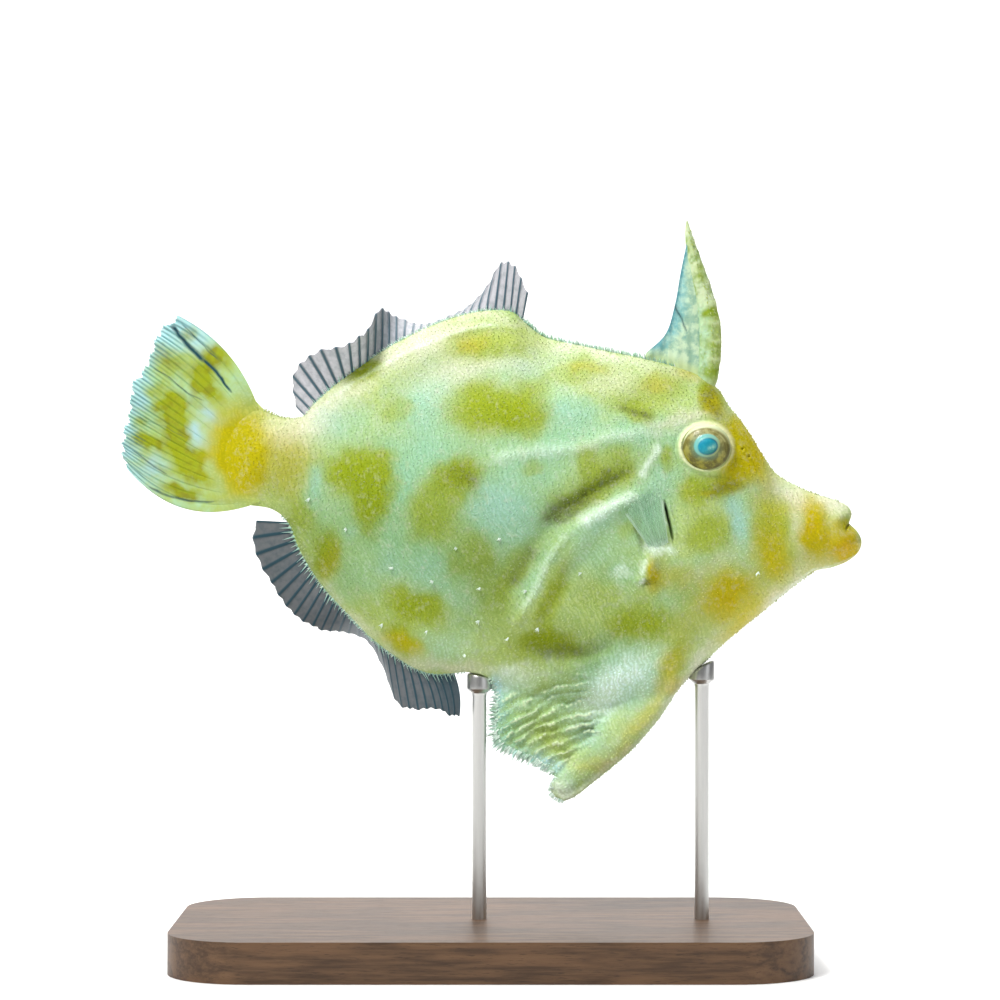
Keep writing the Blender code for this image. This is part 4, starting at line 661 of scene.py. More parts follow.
def lines(x, z, table, seed):
    """Soft lines along the skin, from 0 to 1."""
    wx = x + 0.25 * rough(x, z, 2.2, seed, 2)
    wz = z + 0.25 * rough(x, z, 2.2, seed + 5, 2)
    points = np.column_stack([wx, wz])
    clear = np.ones_like(x)
    for line, half, strength in table:
        away, share = near_line(points, smooth_line(line, 0.8), closed=False)
        taper = held(np.minimum(share, 1 - share) * 7)
        clear *= 1 - strength * taper * bell(away, half)
    return 1 - clear


def markings(x, z):
    """The masks that colour the skin, as a dictionary of shares."""
    shine = np.maximum(spots(x, z, SHINE, 0.4, 130), lines(x, z, PALE_AND_HIGHLIGHT_LINES, 135))
    dark = np.maximum(spots(x, z, DARK_AND_SHADE_SPOTS, 0.4, 100), lines(x, z, DARK_AND_SHADE_LINES, 105))
    return {
        "aqua": held(spots(x, z, AQUA, 0.35, 50) + 0.14 * rough(x, z, 6.0, 81)),
        "olive": spots(x, z, OLIVE, 0.18),
        "gold": spots(x, z, GOLD, 0.32, 90),
        "dark": dark,
        "blue": spots(x, z, BLUE, 0.35, 110),
        "cream": spots(x, z, CREAM, 0.45, 120),
        "shine": shine,
        "rust": spots(x, z, RUSTY, 0.5, 125),
        "tone": np.clip(hills(x, z, SHADE_AND_LIGHT_TONES), -1, 1),
        "scale_shade_and_sheen": held(hills(x, z, JOINED_SCALES)),
    }


MASKS = ("aqua", "olive", "gold", "dark", "blue", "cream", "shine", "rust", "tone", "scale_shade_and_sheen", "pale")


def add_values(mesh, name, values):
    """A number for each point of a mesh, which its finish reads."""
    layer = mesh.attributes.new(name, "FLOAT", "POINT")
    layer.data.foreach_set("value", np.ascontiguousarray(values, np.float32))


def add_vectors(mesh, name, values):
    layer = mesh.attributes.new(name, "FLOAT_VECTOR", "POINT")
    layer.data.foreach_set("vector", np.ascontiguousarray(values, np.float32).ravel())


def mesh_from(name, points, faces):
    """A smooth mesh from points in millimetres, with its faces turned outwards."""
    mesh = bpy.data.meshes.new(name)
    points = np.asarray(points, float) * MM
    faces = np.asarray(faces, np.int32)
    mesh.vertices.add(len(points))
    mesh.vertices.foreach_set("co", points.ravel())
    mesh.loops.add(faces.size)
    mesh.loops.foreach_set("vertex_index", faces.ravel())
    mesh.polygons.add(len(faces))
    mesh.polygons.foreach_set("loop_start", np.arange(0, faces.size, faces.shape[1]))
    mesh.update(calc_edges=True)
    shell = bmesh.new()
    shell.from_mesh(mesh)
    bmesh.ops.recalc_face_normals(shell, faces=shell.faces)
    shell.to_mesh(mesh)
    shell.free()
    mesh.shade_smooth()
    return mesh


def piece(name, mesh, finish, replaces=()):
    """Puts a mesh in the scene as a finished piece of the model."""
    obj = bpy.data.objects.new(name, mesh)
    bpy.context.scene.collection.objects.link(obj)
    if finish is not None:
        mesh.materials.clear()
        mesh.materials.append(finish)
    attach(obj, "root")
    if replaces:
        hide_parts(*replaces)
    return obj


def hex_grid(low, high, spacing, turn=0.0):
    """Points of an even triangular grid over a box."""
    middle = (np.array(low) + high) / 2
    reach = np.linalg.norm(np.array(high) - low) / 2 + spacing
    count = int(reach / spacing) + 1
    i, j = np.meshgrid(np.arange(-count, count + 1), np.arange(-int(count * 1.16), int(count * 1.16) + 1))
    x = ((i + (j % 2) / 2) * spacing).ravel()
    z = (j * spacing * 0.866).ravel()
    c, s = math.cos(turn), math.sin(turn)
    points = np.column_stack([c * x - s * z, s * x + c * z]) + middle
    return points[((points >= low) & (points <= high)).all(axis=1)]


def in_rows(points):
    """Which points lie where the flap's rows of scales stand."""
    along, across = flap_rows(points)
    return (np.abs(along) < FLAP_ROW_REACH + 1) & (np.abs(across) < FLAP_ROWS_SPREAD + 0.5)


def skin_points(loop):
    """Points inside the outline: rows round its edge, and grids that are finer where the skin is."""
    normals = outward(np.vstack([loop[-1:], loop, loop[:1]]))[1:-1]
    rows = []
    for depth in (*(EDGE_RADIUS * (1 - math.cos(math.radians(t))) for t in EDGE_TURNS), *EDGE_DEPTHS):
        row = loop + normals * depth
        flipped = loop - normals * depth
        row = np.where(inside(row, loop)[:, None], row, flipped)
        far, _ = near_line(row, loop)
        rows.append(row[inside(row, loop) & (far > 0.85 * depth)])
    low, high = loop.min(axis=0), loop.max(axis=0)
    grid = hex_grid(low, high, SKIN_STEP, 0.3)
    far, _ = near_line(grid, loop)
    grid = grid[inside(grid, loop) & (far > 1.0 + 0.5 * SKIN_STEP)]
    in_flap = in_rows(grid) & (grid[:, 1] < FLAP_CORNER[1])
    flap = hex_grid(low, FLAP_CORNER, FLAP_STEP, 0.44)
    far, _ = near_line(flap, loop)
    flap = flap[inside(flap, loop) & (far > 1.0 + 0.5 * FLAP_STEP) & in_rows(flap)]
    points = np.vstack([grid[~in_flap], flap])
    fine = []
    zones = [(smooth_line(GILL_SLIT, 0.3), 1.0, 0.13), (smooth_line(MOUTH, 0.3), 0.7, 0.11)]
    zones += [(np.array([place, np.add(place, (0.01, 0))]), 1.0, 0.11) for place in NOSTRILS]
    zones += [(np.array([(22.9, 56.7), (22.0, 56.9)]), 0.8, 0.2)]
    for line, reach, step in zones:
        zone = hex_grid(line.min(axis=0) - reach, line.max(axis=0) + reach, step)
        near = from_line(zone, line)
        far, _ = near_line(zone, loop)
        zone = zone[(near < reach) & inside(zone, loop) & (far > 0.15)]
        points = points[from_line(points, line) > reach]
        rows = [row[from_line(row, line) > reach * 0.8] for row in rows]
        fine = [other[from_line(other, line) > reach] for other in fine]
        fine.append(zone)
    points = points[np.hypot(*((points - EYE_AT) * (1, EYE_SQUASH)).T) > LID_RADIUS + 1.6]
    rings = []
    for radius in EYE_RINGS:
        count = max(8, int(2 * math.pi * radius / 0.24)) if radius < 3 else 112
        turn = np.linspace(0, 2 * math.pi, count, endpoint=False)
        rings.append(np.column_stack([np.cos(turn), np.sin(turn) / EYE_SQUASH]) * radius + EYE_AT)
    return np.vstack([points, *rows, *fine, *rings, [EYE_AT]])


def scale_middles(low, high):
    """Places of the scales in a box of the side view, row by row."""
    reach = np.linalg.norm(np.array(high) - low) / 2 + 4
    middle = (np.array(low) + high) / 2
    cross = np.cos(ROWS_TURN) * middle[0] + np.sin(ROWS_TURN) * middle[1]
    along = np.cos(ROWS_TURN) * middle[1] - np.sin(ROWS_TURN) * middle[0]
    j = np.arange(int((cross - reach) / ROW_PITCH), int((cross + reach) / ROW_PITCH))
    i = np.arange(int((along - reach) / SCALE_PITCH), int((along + reach) / SCALE_PITCH))
    j, i = np.meshgrid(j, i)
    cross = (j * ROW_PITCH).ravel()
    along = ((i + (j % 2) / 2) * SCALE_PITCH).ravel()
    bent_x = np.cos(ROWS_TURN) * cross - np.sin(ROWS_TURN) * along
    bent_z = np.sin(ROWS_TURN) * cross + np.cos(ROWS_TURN) * along
    x, z = bent_x, bent_z
    for _ in range(12):
        sway = ROW_SWAY * np.sin(z * ROW_WAVE + ROW_PHASES[0])
        x, z = bent_x - sway, bent_z - ROW_SWAY * np.sin(x * ROW_WAVE + ROW_PHASES[1])
    points = np.column_stack([x, z])
    return points[((points >= low) & (points <= high)).all(axis=1)]


def unwrap_table():
    """How far round the body each place of its side view lies, as a grid of arc lengths."""
    xs, zs = (np.arange(UNWRAP_LOW[k], UNWRAP_HIGH[k], UNWRAP_STEP[k]) for k in range(2))
    gx, gz = np.meshgrid(xs, zs, indexing="ij")
    points = np.column_stack([gx.ravel(), gz.ravel()])
    edge = edge_of(points)
    within = inside(points, OUTLINE)
    width = np.where(within, half_width(points, edge), 0).reshape(gx.shape)
    rise = np.hypot(np.diff(zs)[None], np.diff(width, axis=1))
    arc = np.concatenate([np.zeros((len(xs), 1)), np.cumsum(rise, axis=1)], axis=1)
    return xs, zs, arc


ARC_XS, ARC_ZS, ARC = unwrap_table()


def unwrapped(x, z, left):
    """Where points of the skin lie on its unwrap: the right side in the lower half, the left in the upper."""
    i = np.clip((x - ARC_XS[0]) / UNWRAP_STEP[0], 0, len(ARC_XS) - 2)
    j = np.clip((z - ARC_ZS[0]) / UNWRAP_STEP[1], 0, len(ARC_ZS) - 2)
    i0, j0 = i.astype(int), j.astype(int)
    f, g = i - i0, j - j0
    arc = (ARC[i0, j0] * (1 - g) + ARC[i0, j0 + 1] * g) * (1 - f) + (
        ARC[i0 + 1, j0] * (1 - g) + ARC[i0 + 1, j0 + 1] * g) * f
    u = 0.02 + 0.96 * (x - ARC_XS[0]) / (ARC_XS[-1] - ARC_XS[0])
    v = 0.01 + 0.47 * arc / ARC.max()
    return np.column_stack([u, v + 0.5 * left])


def make_skin(finish):
    """One skin over body, flap and lips, mirrored from side to side."""
    loop = OUTLINE
    flat = np.vstack([loop, skin_points(loop)])
    found = delaunay_2d_cdt([Vector(p) for p in flat], [], [list(range(len(loop)))], 1, 1e-6)
    points = np.array([tuple(p) for p in found[0]])
    faces = np.array([f for f in found[2] if len(f) == 3], np.int32)
    edge, _ = near_line(points, loop)
    on_rim = edge < 1e-4
    width = half_width(points, edge)
    width[on_rim] = 0
    count = len(points)
    left_index = np.where(on_rim, np.arange(count), count + np.cumsum(~on_rim) - 1)
    right = np.column_stack([points[:, 0], -width, points[:, 1]])
    left = np.column_stack([points[:, 0], width, points[:, 1]])[~on_rim]
    both = np.vstack([right, left])
    all_faces = np.vstack([faces, left_index[faces][:, ::-1]])
    mesh = mesh_from("skin", both, all_faces)
    for name, mask in markings(both[:, 0], both[:, 2]).items():
        add_values(mesh, name, mask)
    flat_points = both[:, [0, 2]]
    # Painted shade, nearly black, inside the gill slit, along the mouth and in the nostrils.
    away, share = near_line(flat_points, GILL_LINE, closed=False)
    slim = 0.20 - 0.13 * held(share)
    slit = bell(away, slim, 4) * held(share * 5) * held((1 - share) * 2.2)
    lip = bell(from_line(flat_points, MOUTH_LINE), 0.16, 4)
    holes = sum(0.3 * bell(np.hypot(both[:, 0] - a, both[:, 2] - b), 0.2, 4) for a, b in NOSTRILS)
    add_values(mesh, "painted_hollow_shade", held(slit + 0.25 * lip + 0.2 * holes))
    aside, above = both[:, 0] - EYE_AT[0], (both[:, 2] - EYE_AT[1]) * EYE_SQUASH
    from_eye = np.maximum(np.hypot(aside, above), 0.1)
    upper = 0.5 + 0.5 * above / from_eye
    beyond = np.clip(from_eye - LID_RADIUS - 0.15 * upper, 0, None)
    ring = bell(beyond, 0.18 + 0.50 * upper, 3)
    lit = held(0.5 + 0.5 * (above * 0.86 - aside * 0.5) / from_eye)
    add_values(mesh, "lid", ring * (0.50 + 0.50 * lit))
    rows = scale_rows(flat_points, edge_of(flat_points)) / FLAP_ROW_HEIGHT
    add_values(mesh, "rows", np.clip(rows, -1, 1))
    corners = np.empty(len(mesh.loops), np.int32)
    mesh.loops.foreach_get("vertex_index", corners)
    side = np.repeat(np.arange(len(all_faces)) >= len(faces), 3)
    uv = unwrapped(both[corners, 0], both[corners, 2], side)
    layer = mesh.uv_layers.new(name="OFBake")
    layer.data.foreach_set("uv", uv.astype(np.float32).ravel())
    names = ("head", "torso", "tail_stalk", "pelvic_flap", "pelvic_stub", "upper_lip", "lower_lip")
    return piece("skin", mesh, finish, names)


class Wire:
    """A socket of a finish, which takes part in sums."""

    def __init__(self, finish, socket):
        self.finish = finish
        self.socket = socket

    def maths(self, operation, *values):
        return self.finish.node("ShaderNodeMath", {"operation": operation}, dict(enumerate(values)))

    def __add__(self, other):
        return self.maths("ADD", self, other)

    def __sub__(self, other):
        return self.maths("SUBTRACT", self, other)

    def __mul__(self, other):
        return self.maths("MULTIPLY", self, other)

    def __truediv__(self, other):
        return self.maths("DIVIDE", self, other)

    def __rsub__(self, other):
        return self.maths("SUBTRACT", other, self)

    def __neg__(self):
        return self.maths("MULTIPLY", self, -1.0)

    __radd__ = __add__
    __rmul__ = __mul__

    def sine(self):
        return self.maths("SINE", self)

    def clipped(self):
        return self.finish.node("ShaderNodeClamp", {}, {0: self, 1: 0.0, 2: 1.0})

    def between(self, low, high):
        """0 under the lower value, 1 over the higher one, smooth between them."""
        settings = {"interpolation_type": "SMOOTHSTEP"}
        return self.finish.node("ShaderNodeMapRange", settings, {0: self, 1: low, 2: high, 3: 0.0, 4: 1.0})


class Finish:
    """A material as it is built, node by node."""

    def __init__(self, name):
        self.material = bpy.data.materials.new(name)
        self.material.use_nodes = True
        self.tree = self.material.node_tree
        self.shader = self.tree.nodes["Principled BSDF"]

    def side_view(self, vector):
        """The x and z parts of a vector."""
        return [self.node("ShaderNodeSeparateXYZ", {}, {0: vector}, output=k) for k in (0, 2)]

    def scales(self):
        """1 on the middle of each scale of the skin, falling to 0 between the rows."""
        loose = {"Vector": self.place(), "Scale": 560.0, "Detail": 2.0, "Roughness": 0.6}
        wander = self.side_view(self.node("ShaderNodeTexNoise", {}, loose, output=1))
        x, z = [part * (1 / MM) for part in self.side_view(self.place())]
        bent_x = x + (z * ROW_WAVE + ROW_PHASES[0]).sine() * ROW_SWAY + (wander[0] - 0.5) * ROW_WANDER
        bent_z = z + (x * ROW_WAVE + ROW_PHASES[1]).sine() * ROW_SWAY + (wander[1] - 0.5) * ROW_WANDER
        cross = (bent_x * math.cos(ROWS_TURN) + bent_z * math.sin(ROWS_TURN)) / (2 * ROW_PITCH)
        along = (bent_z * math.cos(ROWS_TURN) - bent_x * math.sin(ROWS_TURN)) / SCALE_PITCH
        joined = 0.62 + self.noise(240.0, 2.0).between(0.35, 0.65) * 0.45 - self.own("scale_shade_and_sheen") * 0.35
        near = []
        for shift in (0.0, 0.5):
            a, b = cross + shift, along + shift
            a = (a - a.maths("ROUND", a)) * 2.0
            b = (b - b.maths("ROUND", b)) * joined
            near.append(a * a + b * b)
        least = near[0].maths("MINIMUM", *near)
        crest = 1 - least.maths("SQRT", least).between(0.05, 0.56)
        return crest * self.noise(1500.0, 1.0).between(0.30, 0.50)

    def node(self, kind, settings, values, output=0):
        made = self.tree.nodes.new(kind)
        for name, value in settings.items():
            setattr(made, name, value)
        for name, value in values.items():
            self.feed(made.inputs[name], value)
        return Wire(self, made.outputs[output])

    def feed(self, socket, value):
        if isinstance(value, Wire):
            self.tree.links.new(value.socket, socket)
        elif isinstance(value, tuple) and len(value) == 3 and socket.type == "RGBA":
            socket.default_value = (*value, 1)
        else:
            socket.default_value = value

    def own(self, name):
        """A value stored on the piece."""
        return self.node("ShaderNodeAttribute", {"attribute_name": name}, {}, output=2)

    def place(self):
        return self.node("ShaderNodeTexCoord", {}, {}, output=3)

    def stretched(self, scale):
        return self.node("ShaderNodeMapping", {}, {"Vector": self.place(), "Scale": scale})

    def noise(self, scale, detail=3.0, roughness=0.55, where=None):
        values = {"Vector": where or self.place(), "Scale": scale, "Detail": detail, "Roughness": roughness}
        return self.node("ShaderNodeTexNoise", {}, values)

    def cells(self, scale):
        return self.node("ShaderNodeTexVoronoi", {}, {"Vector": self.place(), "Scale": scale})

    def mix(self, share, first, second, blend="MIX"):
        settings = {"data_type": "RGBA", "blend_type": blend}
        return self.node("ShaderNodeMix", settings, {0: share, 6: first, 7: second}, output=2)

    def bump(self, height, strength, distance, under=None):
        values = {"Height": height, "Strength": strength, "Distance": distance}
        if under is not None:
            values["Normal"] = under
        return self.node("ShaderNodeBump", {}, values)

    def set(self, **values):
        for name, value in values.items():
            self.feed(self.shader.inputs[name.replace("_", " ")], value)
        return self.material


LEAF = (0.43, 0.54, 0.18)
MINT = (0.31, 0.56, 0.36)
SKY = (0.36, 0.60, 0.52)
IVORY = (0.71, 0.70, 0.56)
OLIVE_GREEN = (0.285, 0.36, 0.007)
GOLDEN = (0.47, 0.405, 0.0)
RUST = (0.60, 0.30, 0.01)
BROWN = (0.085, 0.10, 0.008)
PEARL = (0.82, 0.95, 0.84)


def skin_colour(finish):
    """The colour of skin and spinules from the masks stored on them."""
    stipple = finish.noise(1900.0, 2.0, 0.7)
    fleck = finish.noise(760.0, 3.0, 0.65)
    grainy = (stipple - 0.5) * 0.7 + (fleck - 0.5) * 1.1
    cloud = finish.noise(260.0, 3.0, 0.6)
    leaf = finish.mix(cloud.between(0.35, 0.7) * 0.35, LEAF, (0.32, 0.48, 0.16))
    leaf = finish.mix(fleck.between(0.5, 0.75) * 0.35, leaf, (0.22, 0.36, 0.07))
    colour = finish.mix((finish.own("aqua") * 1.05 + grainy * 0.30).clipped(), leaf, MINT)
    colour = finish.mix((finish.own("cream") + grainy * 0.2).clipped(), colour, IVORY)
    colour = finish.mix((finish.own("blue") + grainy * 0.2).clipped(), colour, SKY)
    olive = (finish.own("olive") * 1.12 + grainy * 0.5 - 0.06).clipped()
    colour = finish.mix(olive, colour, OLIVE_GREEN)
    gold = (finish.own("gold") * 1.45 + grainy * 0.3 - 0.06).clipped()
    colour = finish.mix(gold, colour, GOLDEN)
    colour = finish.mix((finish.own("rust") + grainy * 0.2).clipped(), colour, RUST)
    # Brown where dark is high: partly the skin's own dark marks and specks, partly painted shade in the
    # hollows and grooves.
    specks = (grainy * 2.2 - 0.30).clipped() * (0.30 + olive * 0.20)
    dark = (finish.own("dark") * (1.0 + grainy * 2.0) * 1.3 + specks).clipped()
    colour = finish.mix(dark * 0.8, colour, BROWN)
    # Darker where tone is below 0 and paler where it is above 0: on the skin this is painted shade and
    # painted light over broad parts of the flank.
    tone = finish.own("tone")
    colour = finish.mix((-tone).clipped(), colour, (0.65, 0.69, 0.54), "MULTIPLY")
    colour = finish.mix(tone.clipped(), colour, (1.42, 1.38, 1.9), "MULTIPLY")
    # Pearl where shine is high: partly the skin's own pale patches and lines, partly painted highlights on
    # its swellings and ridges.
    return finish.mix((finish.own("shine") + grainy * 0.7).clipped() * 0.8, colour, PEARL)


def skin_finish():
    finish = Finish("filefish_skin")
    colour = skin_colour(finish)
    scales = finish.scales()
    uneven = finish.noise(1100.0, 2.0, 0.6)
    bead = scales * (0.45 + uneven * 1.1)
    run = finish.own("scale_shade_and_sheen")
    plain = 1 - finish.own("gold") * 0.7
    # Painted shade between the scales, and a paler bead on each scale that is partly the skin's own pale dot,
    # partly a painted highlight.
    scale_shade_and_sheen = finish.mix((1 - scales) * (0.42 + run * 0.22), colour, (0.68, 0.76, 0.60), "MULTIPLY")
    scale_shade_and_sheen = finish.mix(bead * (0.26 + run * 0.14) * plain, scale_shade_and_sheen, (1.30, 1.22, 1.50), "MULTIPLY")
    rows = finish.own("rows")
    # The flap's rows of scales: crests paler and valleys darker, partly their own colours, partly painted
    # highlight on the crests and painted shade in the valleys.
    scale_shade_and_sheen = finish.mix(rows.between(0.2, 0.9) * (0.25 + uneven * 0.8), scale_shade_and_sheen, (0.76, 0.88, 0.58))
    scale_shade_and_sheen = finish.mix((-rows).between(0.1, 0.8) * 0.42, scale_shade_and_sheen, (0.27, 0.38, 0.06))
    scale_shade_and_sheen = finish.mix(finish.own("lid") * 0.9, scale_shade_and_sheen, (0.76, 0.77, 0.47))
    # Painted shade inside the gill slit, the mouth and the nostrils.
    scale_shade_and_sheen = finish.mix(finish.own("painted_hollow_shade"), scale_shade_and_sheen, (0.010, 0.012, 0.006))
    height = scales * 0.8 + finish.noise(900.0, 3.0) * 0.5
    fine = finish.bump(height, 0.42, 0.00011)
    broad = finish.bump(finish.noise(160.0, 3.0), 0.25, 0.0005, fine)
    rough_at = 0.42 + finish.noise(420.0, 2.0) * 0.22
    return finish.set(Base_Color=scale_shade_and_sheen, Roughness=rough_at, Normal=broad, Subsurface_Weight=0.08,
                      Subsurface_Radius=(0.6, 0.9, 0.5), Subsurface_Scale=0.0009, Specular_IOR_Level=0.12)


def spinule_finish():
    finish = Finish("filefish_spinules")
    colour = finish.mix(finish.own("light"), skin_colour(finish), (1.75, 1.65, 2.0), "MULTIPLY")
    colour = finish.mix(finish.own("pale"), colour, (0.84, 0.93, 0.86))
    return finish.set(Base_Color=colour, Roughness=0.7, Specular_IOR_Level=0.04)


def tail_finish():
    finish = Finish("tail_fin_skin")
    grainy = (finish.noise(1500.0, 2.0, 0.7) - 0.5) * 0.8 + (finish.noise(600.0, 2.0, 0.6) - 0.5) * 0.6
    ray = finish.own("ray")
    near = finish.own("near")
    scales = finish.scales()
    cloud = finish.noise(240.0, 3.0, 0.6).between(0.35, 0.7)
    colour = finish.mix(cloud, (0.38, 0.50, 0.12), (0.40, 0.62, 0.36))
    colour = finish.mix(near * 0.8, colour, (0.40, 0.50, 0.16))
    colour = finish.mix((finish.own("clear") * 1.05 + grainy * 0.35).clipped(), colour, (0.38, 0.62, 0.70))
    hem = finish.own("hem")
    colour = finish.mix((hem * 1.1 + grainy * 0.6).clipped() * 0.9, colour, (0.42, 0.70, 0.72))
    olive = (finish.own("olive") * 1.6 + grainy * 0.7 - 0.08).clipped()
    patchy = finish.noise(500.0, 3.0, 0.6).between(0.45, 0.65)
    brown = finish.mix(patchy, (0.29, 0.34, 0.001), (0.24, 0.25, 0.001))
    colour = finish.mix(olive * 0.95, colour, brown)
    gold = (finish.own("gold") * 1.45 + grainy * 0.3 - 0.06).clipped()
    colour = finish.mix(gold, colour, GOLDEN)
    lined = (1 - ray) * (1 - gold * 0.8) * (0.30 + finish.own("outer") * 0.5) * (0.5 + cloud * 0.6)
    colour = finish.mix(lined, colour, (0.22, 0.42, 0.36), "MULTIPLY")
    # Painted shade between the scales near the fin's root.
    colour = finish.mix((1 - scales) * near * 0.6, colour, (0.68, 0.76, 0.60), "MULTIPLY")
    colour = finish.mix(hem * (1 - ray) * 0.6, colour, (0.03, 0.16, 0.20))
    fold = finish.own("fold")
    colour = finish.mix((fold * 1.1 + grainy * 0.4).clipped() * fold.between(0.1, 0.4),
                        colour, (0.012, 0.06, 0.075))
    height = ray * 0.6 + scales * near * 0.5 + finish.noise(1200.0, 3.0) * 0.4
    alpha = (1 - hem * (1 - ray) * 0.12).clipped()
    return finish.set(Base_Color=colour, Roughness=0.5, Normal=finish.bump(height, 0.5, 0.00012),
                      Alpha=alpha, Specular_IOR_Level=0.12, Subsurface_Weight=0.1, Subsurface_Scale=0.0008)


def soft_fin_finish(name, membrane, membrane_alpha, ray_colour, root_colour, plain=1.0):
    """Slate rays in a clear membrane, paler at their roots."""
    finish = Finish(name)
    ray = finish.own("ray")
    root = finish.own("root")
    vein = finish.noise(900.0, 3.0, 0.6)
    bone = ray.between(0.10, 0.80)
    colour = finish.mix(vein.between(0.35, 0.75) * 0.4, membrane, ray_colour)
    colour = finish.mix(bone * plain, colour, ray_colour)
    deep = finish.own("deep")
    colour = finish.mix(deep * 0.75, colour, ray_colour)
    colour = finish.mix(root * 0.8, colour, root_colour)
    colour = finish.mix(finish.own("rim") * 0.6, colour, (0.66, 0.82, 0.66))
    alpha = (membrane_alpha + bone * plain * (1 - membrane_alpha) + root * 0.4 + deep * 0.3
             + finish.own("rim") * 0.3).clipped()
    height = ray * 0.7 + vein * 0.2
    return finish.set(Base_Color=colour, Roughness=0.45, Normal=finish.bump(height, 0.35, 0.0001),
                      Alpha=alpha, Specular_IOR_Level=0.25)


def spine_finish():
    finish = Finish("dorsal_spine_skin")
    grainy = (finish.noise(1500.0, 2.0, 0.7) - 0.5) * 0.9
    mottle = finish.noise(420.0, 3.0, 0.65)
    colour = finish.mix(finish.own("front"), (0.42, 0.62, 0.44), (0.40, 0.50, 0.16))
    colour = finish.mix(mottle.between(0.45, 0.65) * 0.45, colour, (0.58, 0.70, 0.36))
    tip = finish.mix(mottle.between(0.42, 0.60), (0.30, 0.41, 0.17), (0.54, 0.64, 0.40))
    colour = finish.mix(finish.own("tip") * 0.9, colour, tip)
    colour = finish.mix((0.5 - mottle).between(0.0, 0.12) * 0.6, colour, (0.24, 0.36, 0.06))
    colour = finish.mix((finish.own("olive") * 1.1 + grainy * 0.4).clipped(), colour, (0.22, 0.32, 0.008))
    colour = finish.mix((finish.own("band") + grainy * 0.3).clipped() * 0.6, colour, (0.62, 0.72, 0.42))
    bumps = finish.cells(1700.0)
    colour = finish.mix((1 - bumps.between(0.0, 0.45)) * 0.2, colour, (0.80, 0.88, 0.62))
    height = (1 - bumps) + finish.noise(1100.0, 3.0) * 0.5
    return finish.set(Base_Color=colour, Roughness=0.5, Normal=finish.bump(height, 0.7, 0.00015),
                      Specular_IOR_Level=0.3, Subsurface_Weight=0.08, Subsurface_Scale=0.0008)


def web_finish():
    finish = Finish("spine_web_skin")
    veil = finish.noise(650.0, 4.0, 0.6)
    dots = finish.noise(1500.0, 2.0, 0.7)
    colour = finish.mix(veil.between(0.35, 0.65), (0.13, 0.38, 0.40), (0.34, 0.60, 0.56))
    light = finish.mix(veil.between(0.40, 0.62), (0.30, 0.47, 0.33), (0.56, 0.70, 0.48))
    colour = finish.mix((finish.own("pale") * 1.2 + (dots - 0.5) * 1.3).clipped() * 0.92, colour, light)
    rear = (finish.own("rear") * 1.1 + (dots - 0.5) * 2.6 - 0.2).clipped()
    colour = finish.mix(rear * 0.8, colour, (0.04, 0.22, 0.28))
    colour = finish.mix((finish.own("low") + (veil - 0.5) * 0.8).clipped() * 0.9, colour, (0.50, 0.62, 0.30))
    colour = finish.mix(finish.own("fold"), colour, (0.01, 0.07, 0.09))
    height = veil + finish.own("ray") * 0.15 + dots * 0.4
    alpha = (0.90 + finish.own("pale")).clipped()
    return finish.set(Base_Color=colour, Roughness=0.5, Normal=finish.bump(height, 0.35, 0.0001),
                      Alpha=alpha, Coat_Weight=0.05, Coat_Roughness=0.3, Specular_IOR_Level=0.25)


def eye_finish():
    """Iris, ring and pupil, drawn by the eye's own radial values."""
    finish = Finish("filefish_eye")
    out = finish.own("out")
    streaks = finish.node("ShaderNodeCombineXYZ", {}, {0: finish.own("around") * 11.0, 1: out * 2.2, 2: 0.0})
    fibres = finish.noise(3.0, 4.0, 0.7, streaks)
    mottle = finish.noise(480.0, 5.0, 0.72)
    blotch = mottle.between(0.42, 0.58)
    dim = finish.mix(blotch, (0.095, 0.085, 0.004), (0.27, 0.25, 0.02))
    tan = finish.mix(blotch, (0.22, 0.20, 0.06), (0.41, 0.40, 0.19))
    iris = finish.mix(finish.own("upper"), dim, tan)
    iris = finish.mix(fibres.between(0.5, 0.75) * 0.35, iris, (0.36, 0.33, 0.09))
    iris = finish.mix(finish.own("halo") * 0.55, iris, (0.10, 0.24, 0.17))
    arcs = (finish.own("arcs") * 1.1 * (0.5 + mottle)).clipped()
    iris = finish.mix(arcs * 0.6, iris, (0.055, 0.052, 0.004))
    iris = finish.mix(finish.own("rim") * 0.75, iris, (0.075, 0.062, 0.012))
    glow = finish.own("glow")
    pale = finish.mix((glow + (mottle - 0.5) * 0.5).clipped(), (0.30, 0.36, 0.13), (0.16, 0.50, 0.47))
    colour = finish.mix(finish.own("ring") * 0.92, iris, pale)
    deep = finish.mix(glow, (0.004, 0.19, 0.18), (0.001, 0.25, 0.38))
    deep = finish.mix(finish.noise(900.0, 3.0, 0.7).between(0.42, 0.70) * 0.5, deep, (0.03, 0.40, 0.48))
    deep = finish.mix(finish.own("under") * 0.8, deep, (0.003, 0.13, 0.085))
    broken = finish.noise(1300.0, 3.0, 0.7).between(0.40, 0.62)
    glint = (finish.own("glint") * (0.25 + broken * 0.75)).clipped()
    deep = finish.mix(glint * 0.75, deep, (0.34, 0.60, 0.44))
    colour = finish.mix(finish.own("pupil"), colour, deep)
    colour = finish.mix(finish.own("border") * 0.8, colour, (0.0, 0.07, 0.13))
    lid = finish.mix(finish.own("lit"), (0.30, 0.35, 0.12), (0.58, 0.64, 0.39))
    colour = finish.mix(finish.own("white"), colour, lid)
    return finish.set(Base_Color=colour, Roughness=0.42, Coat_Weight=0.16, Coat_Roughness=0.12,
                      Specular_IOR_Level=0.3, Normal=finish.bump(fibres, 0.12, 0.0001))


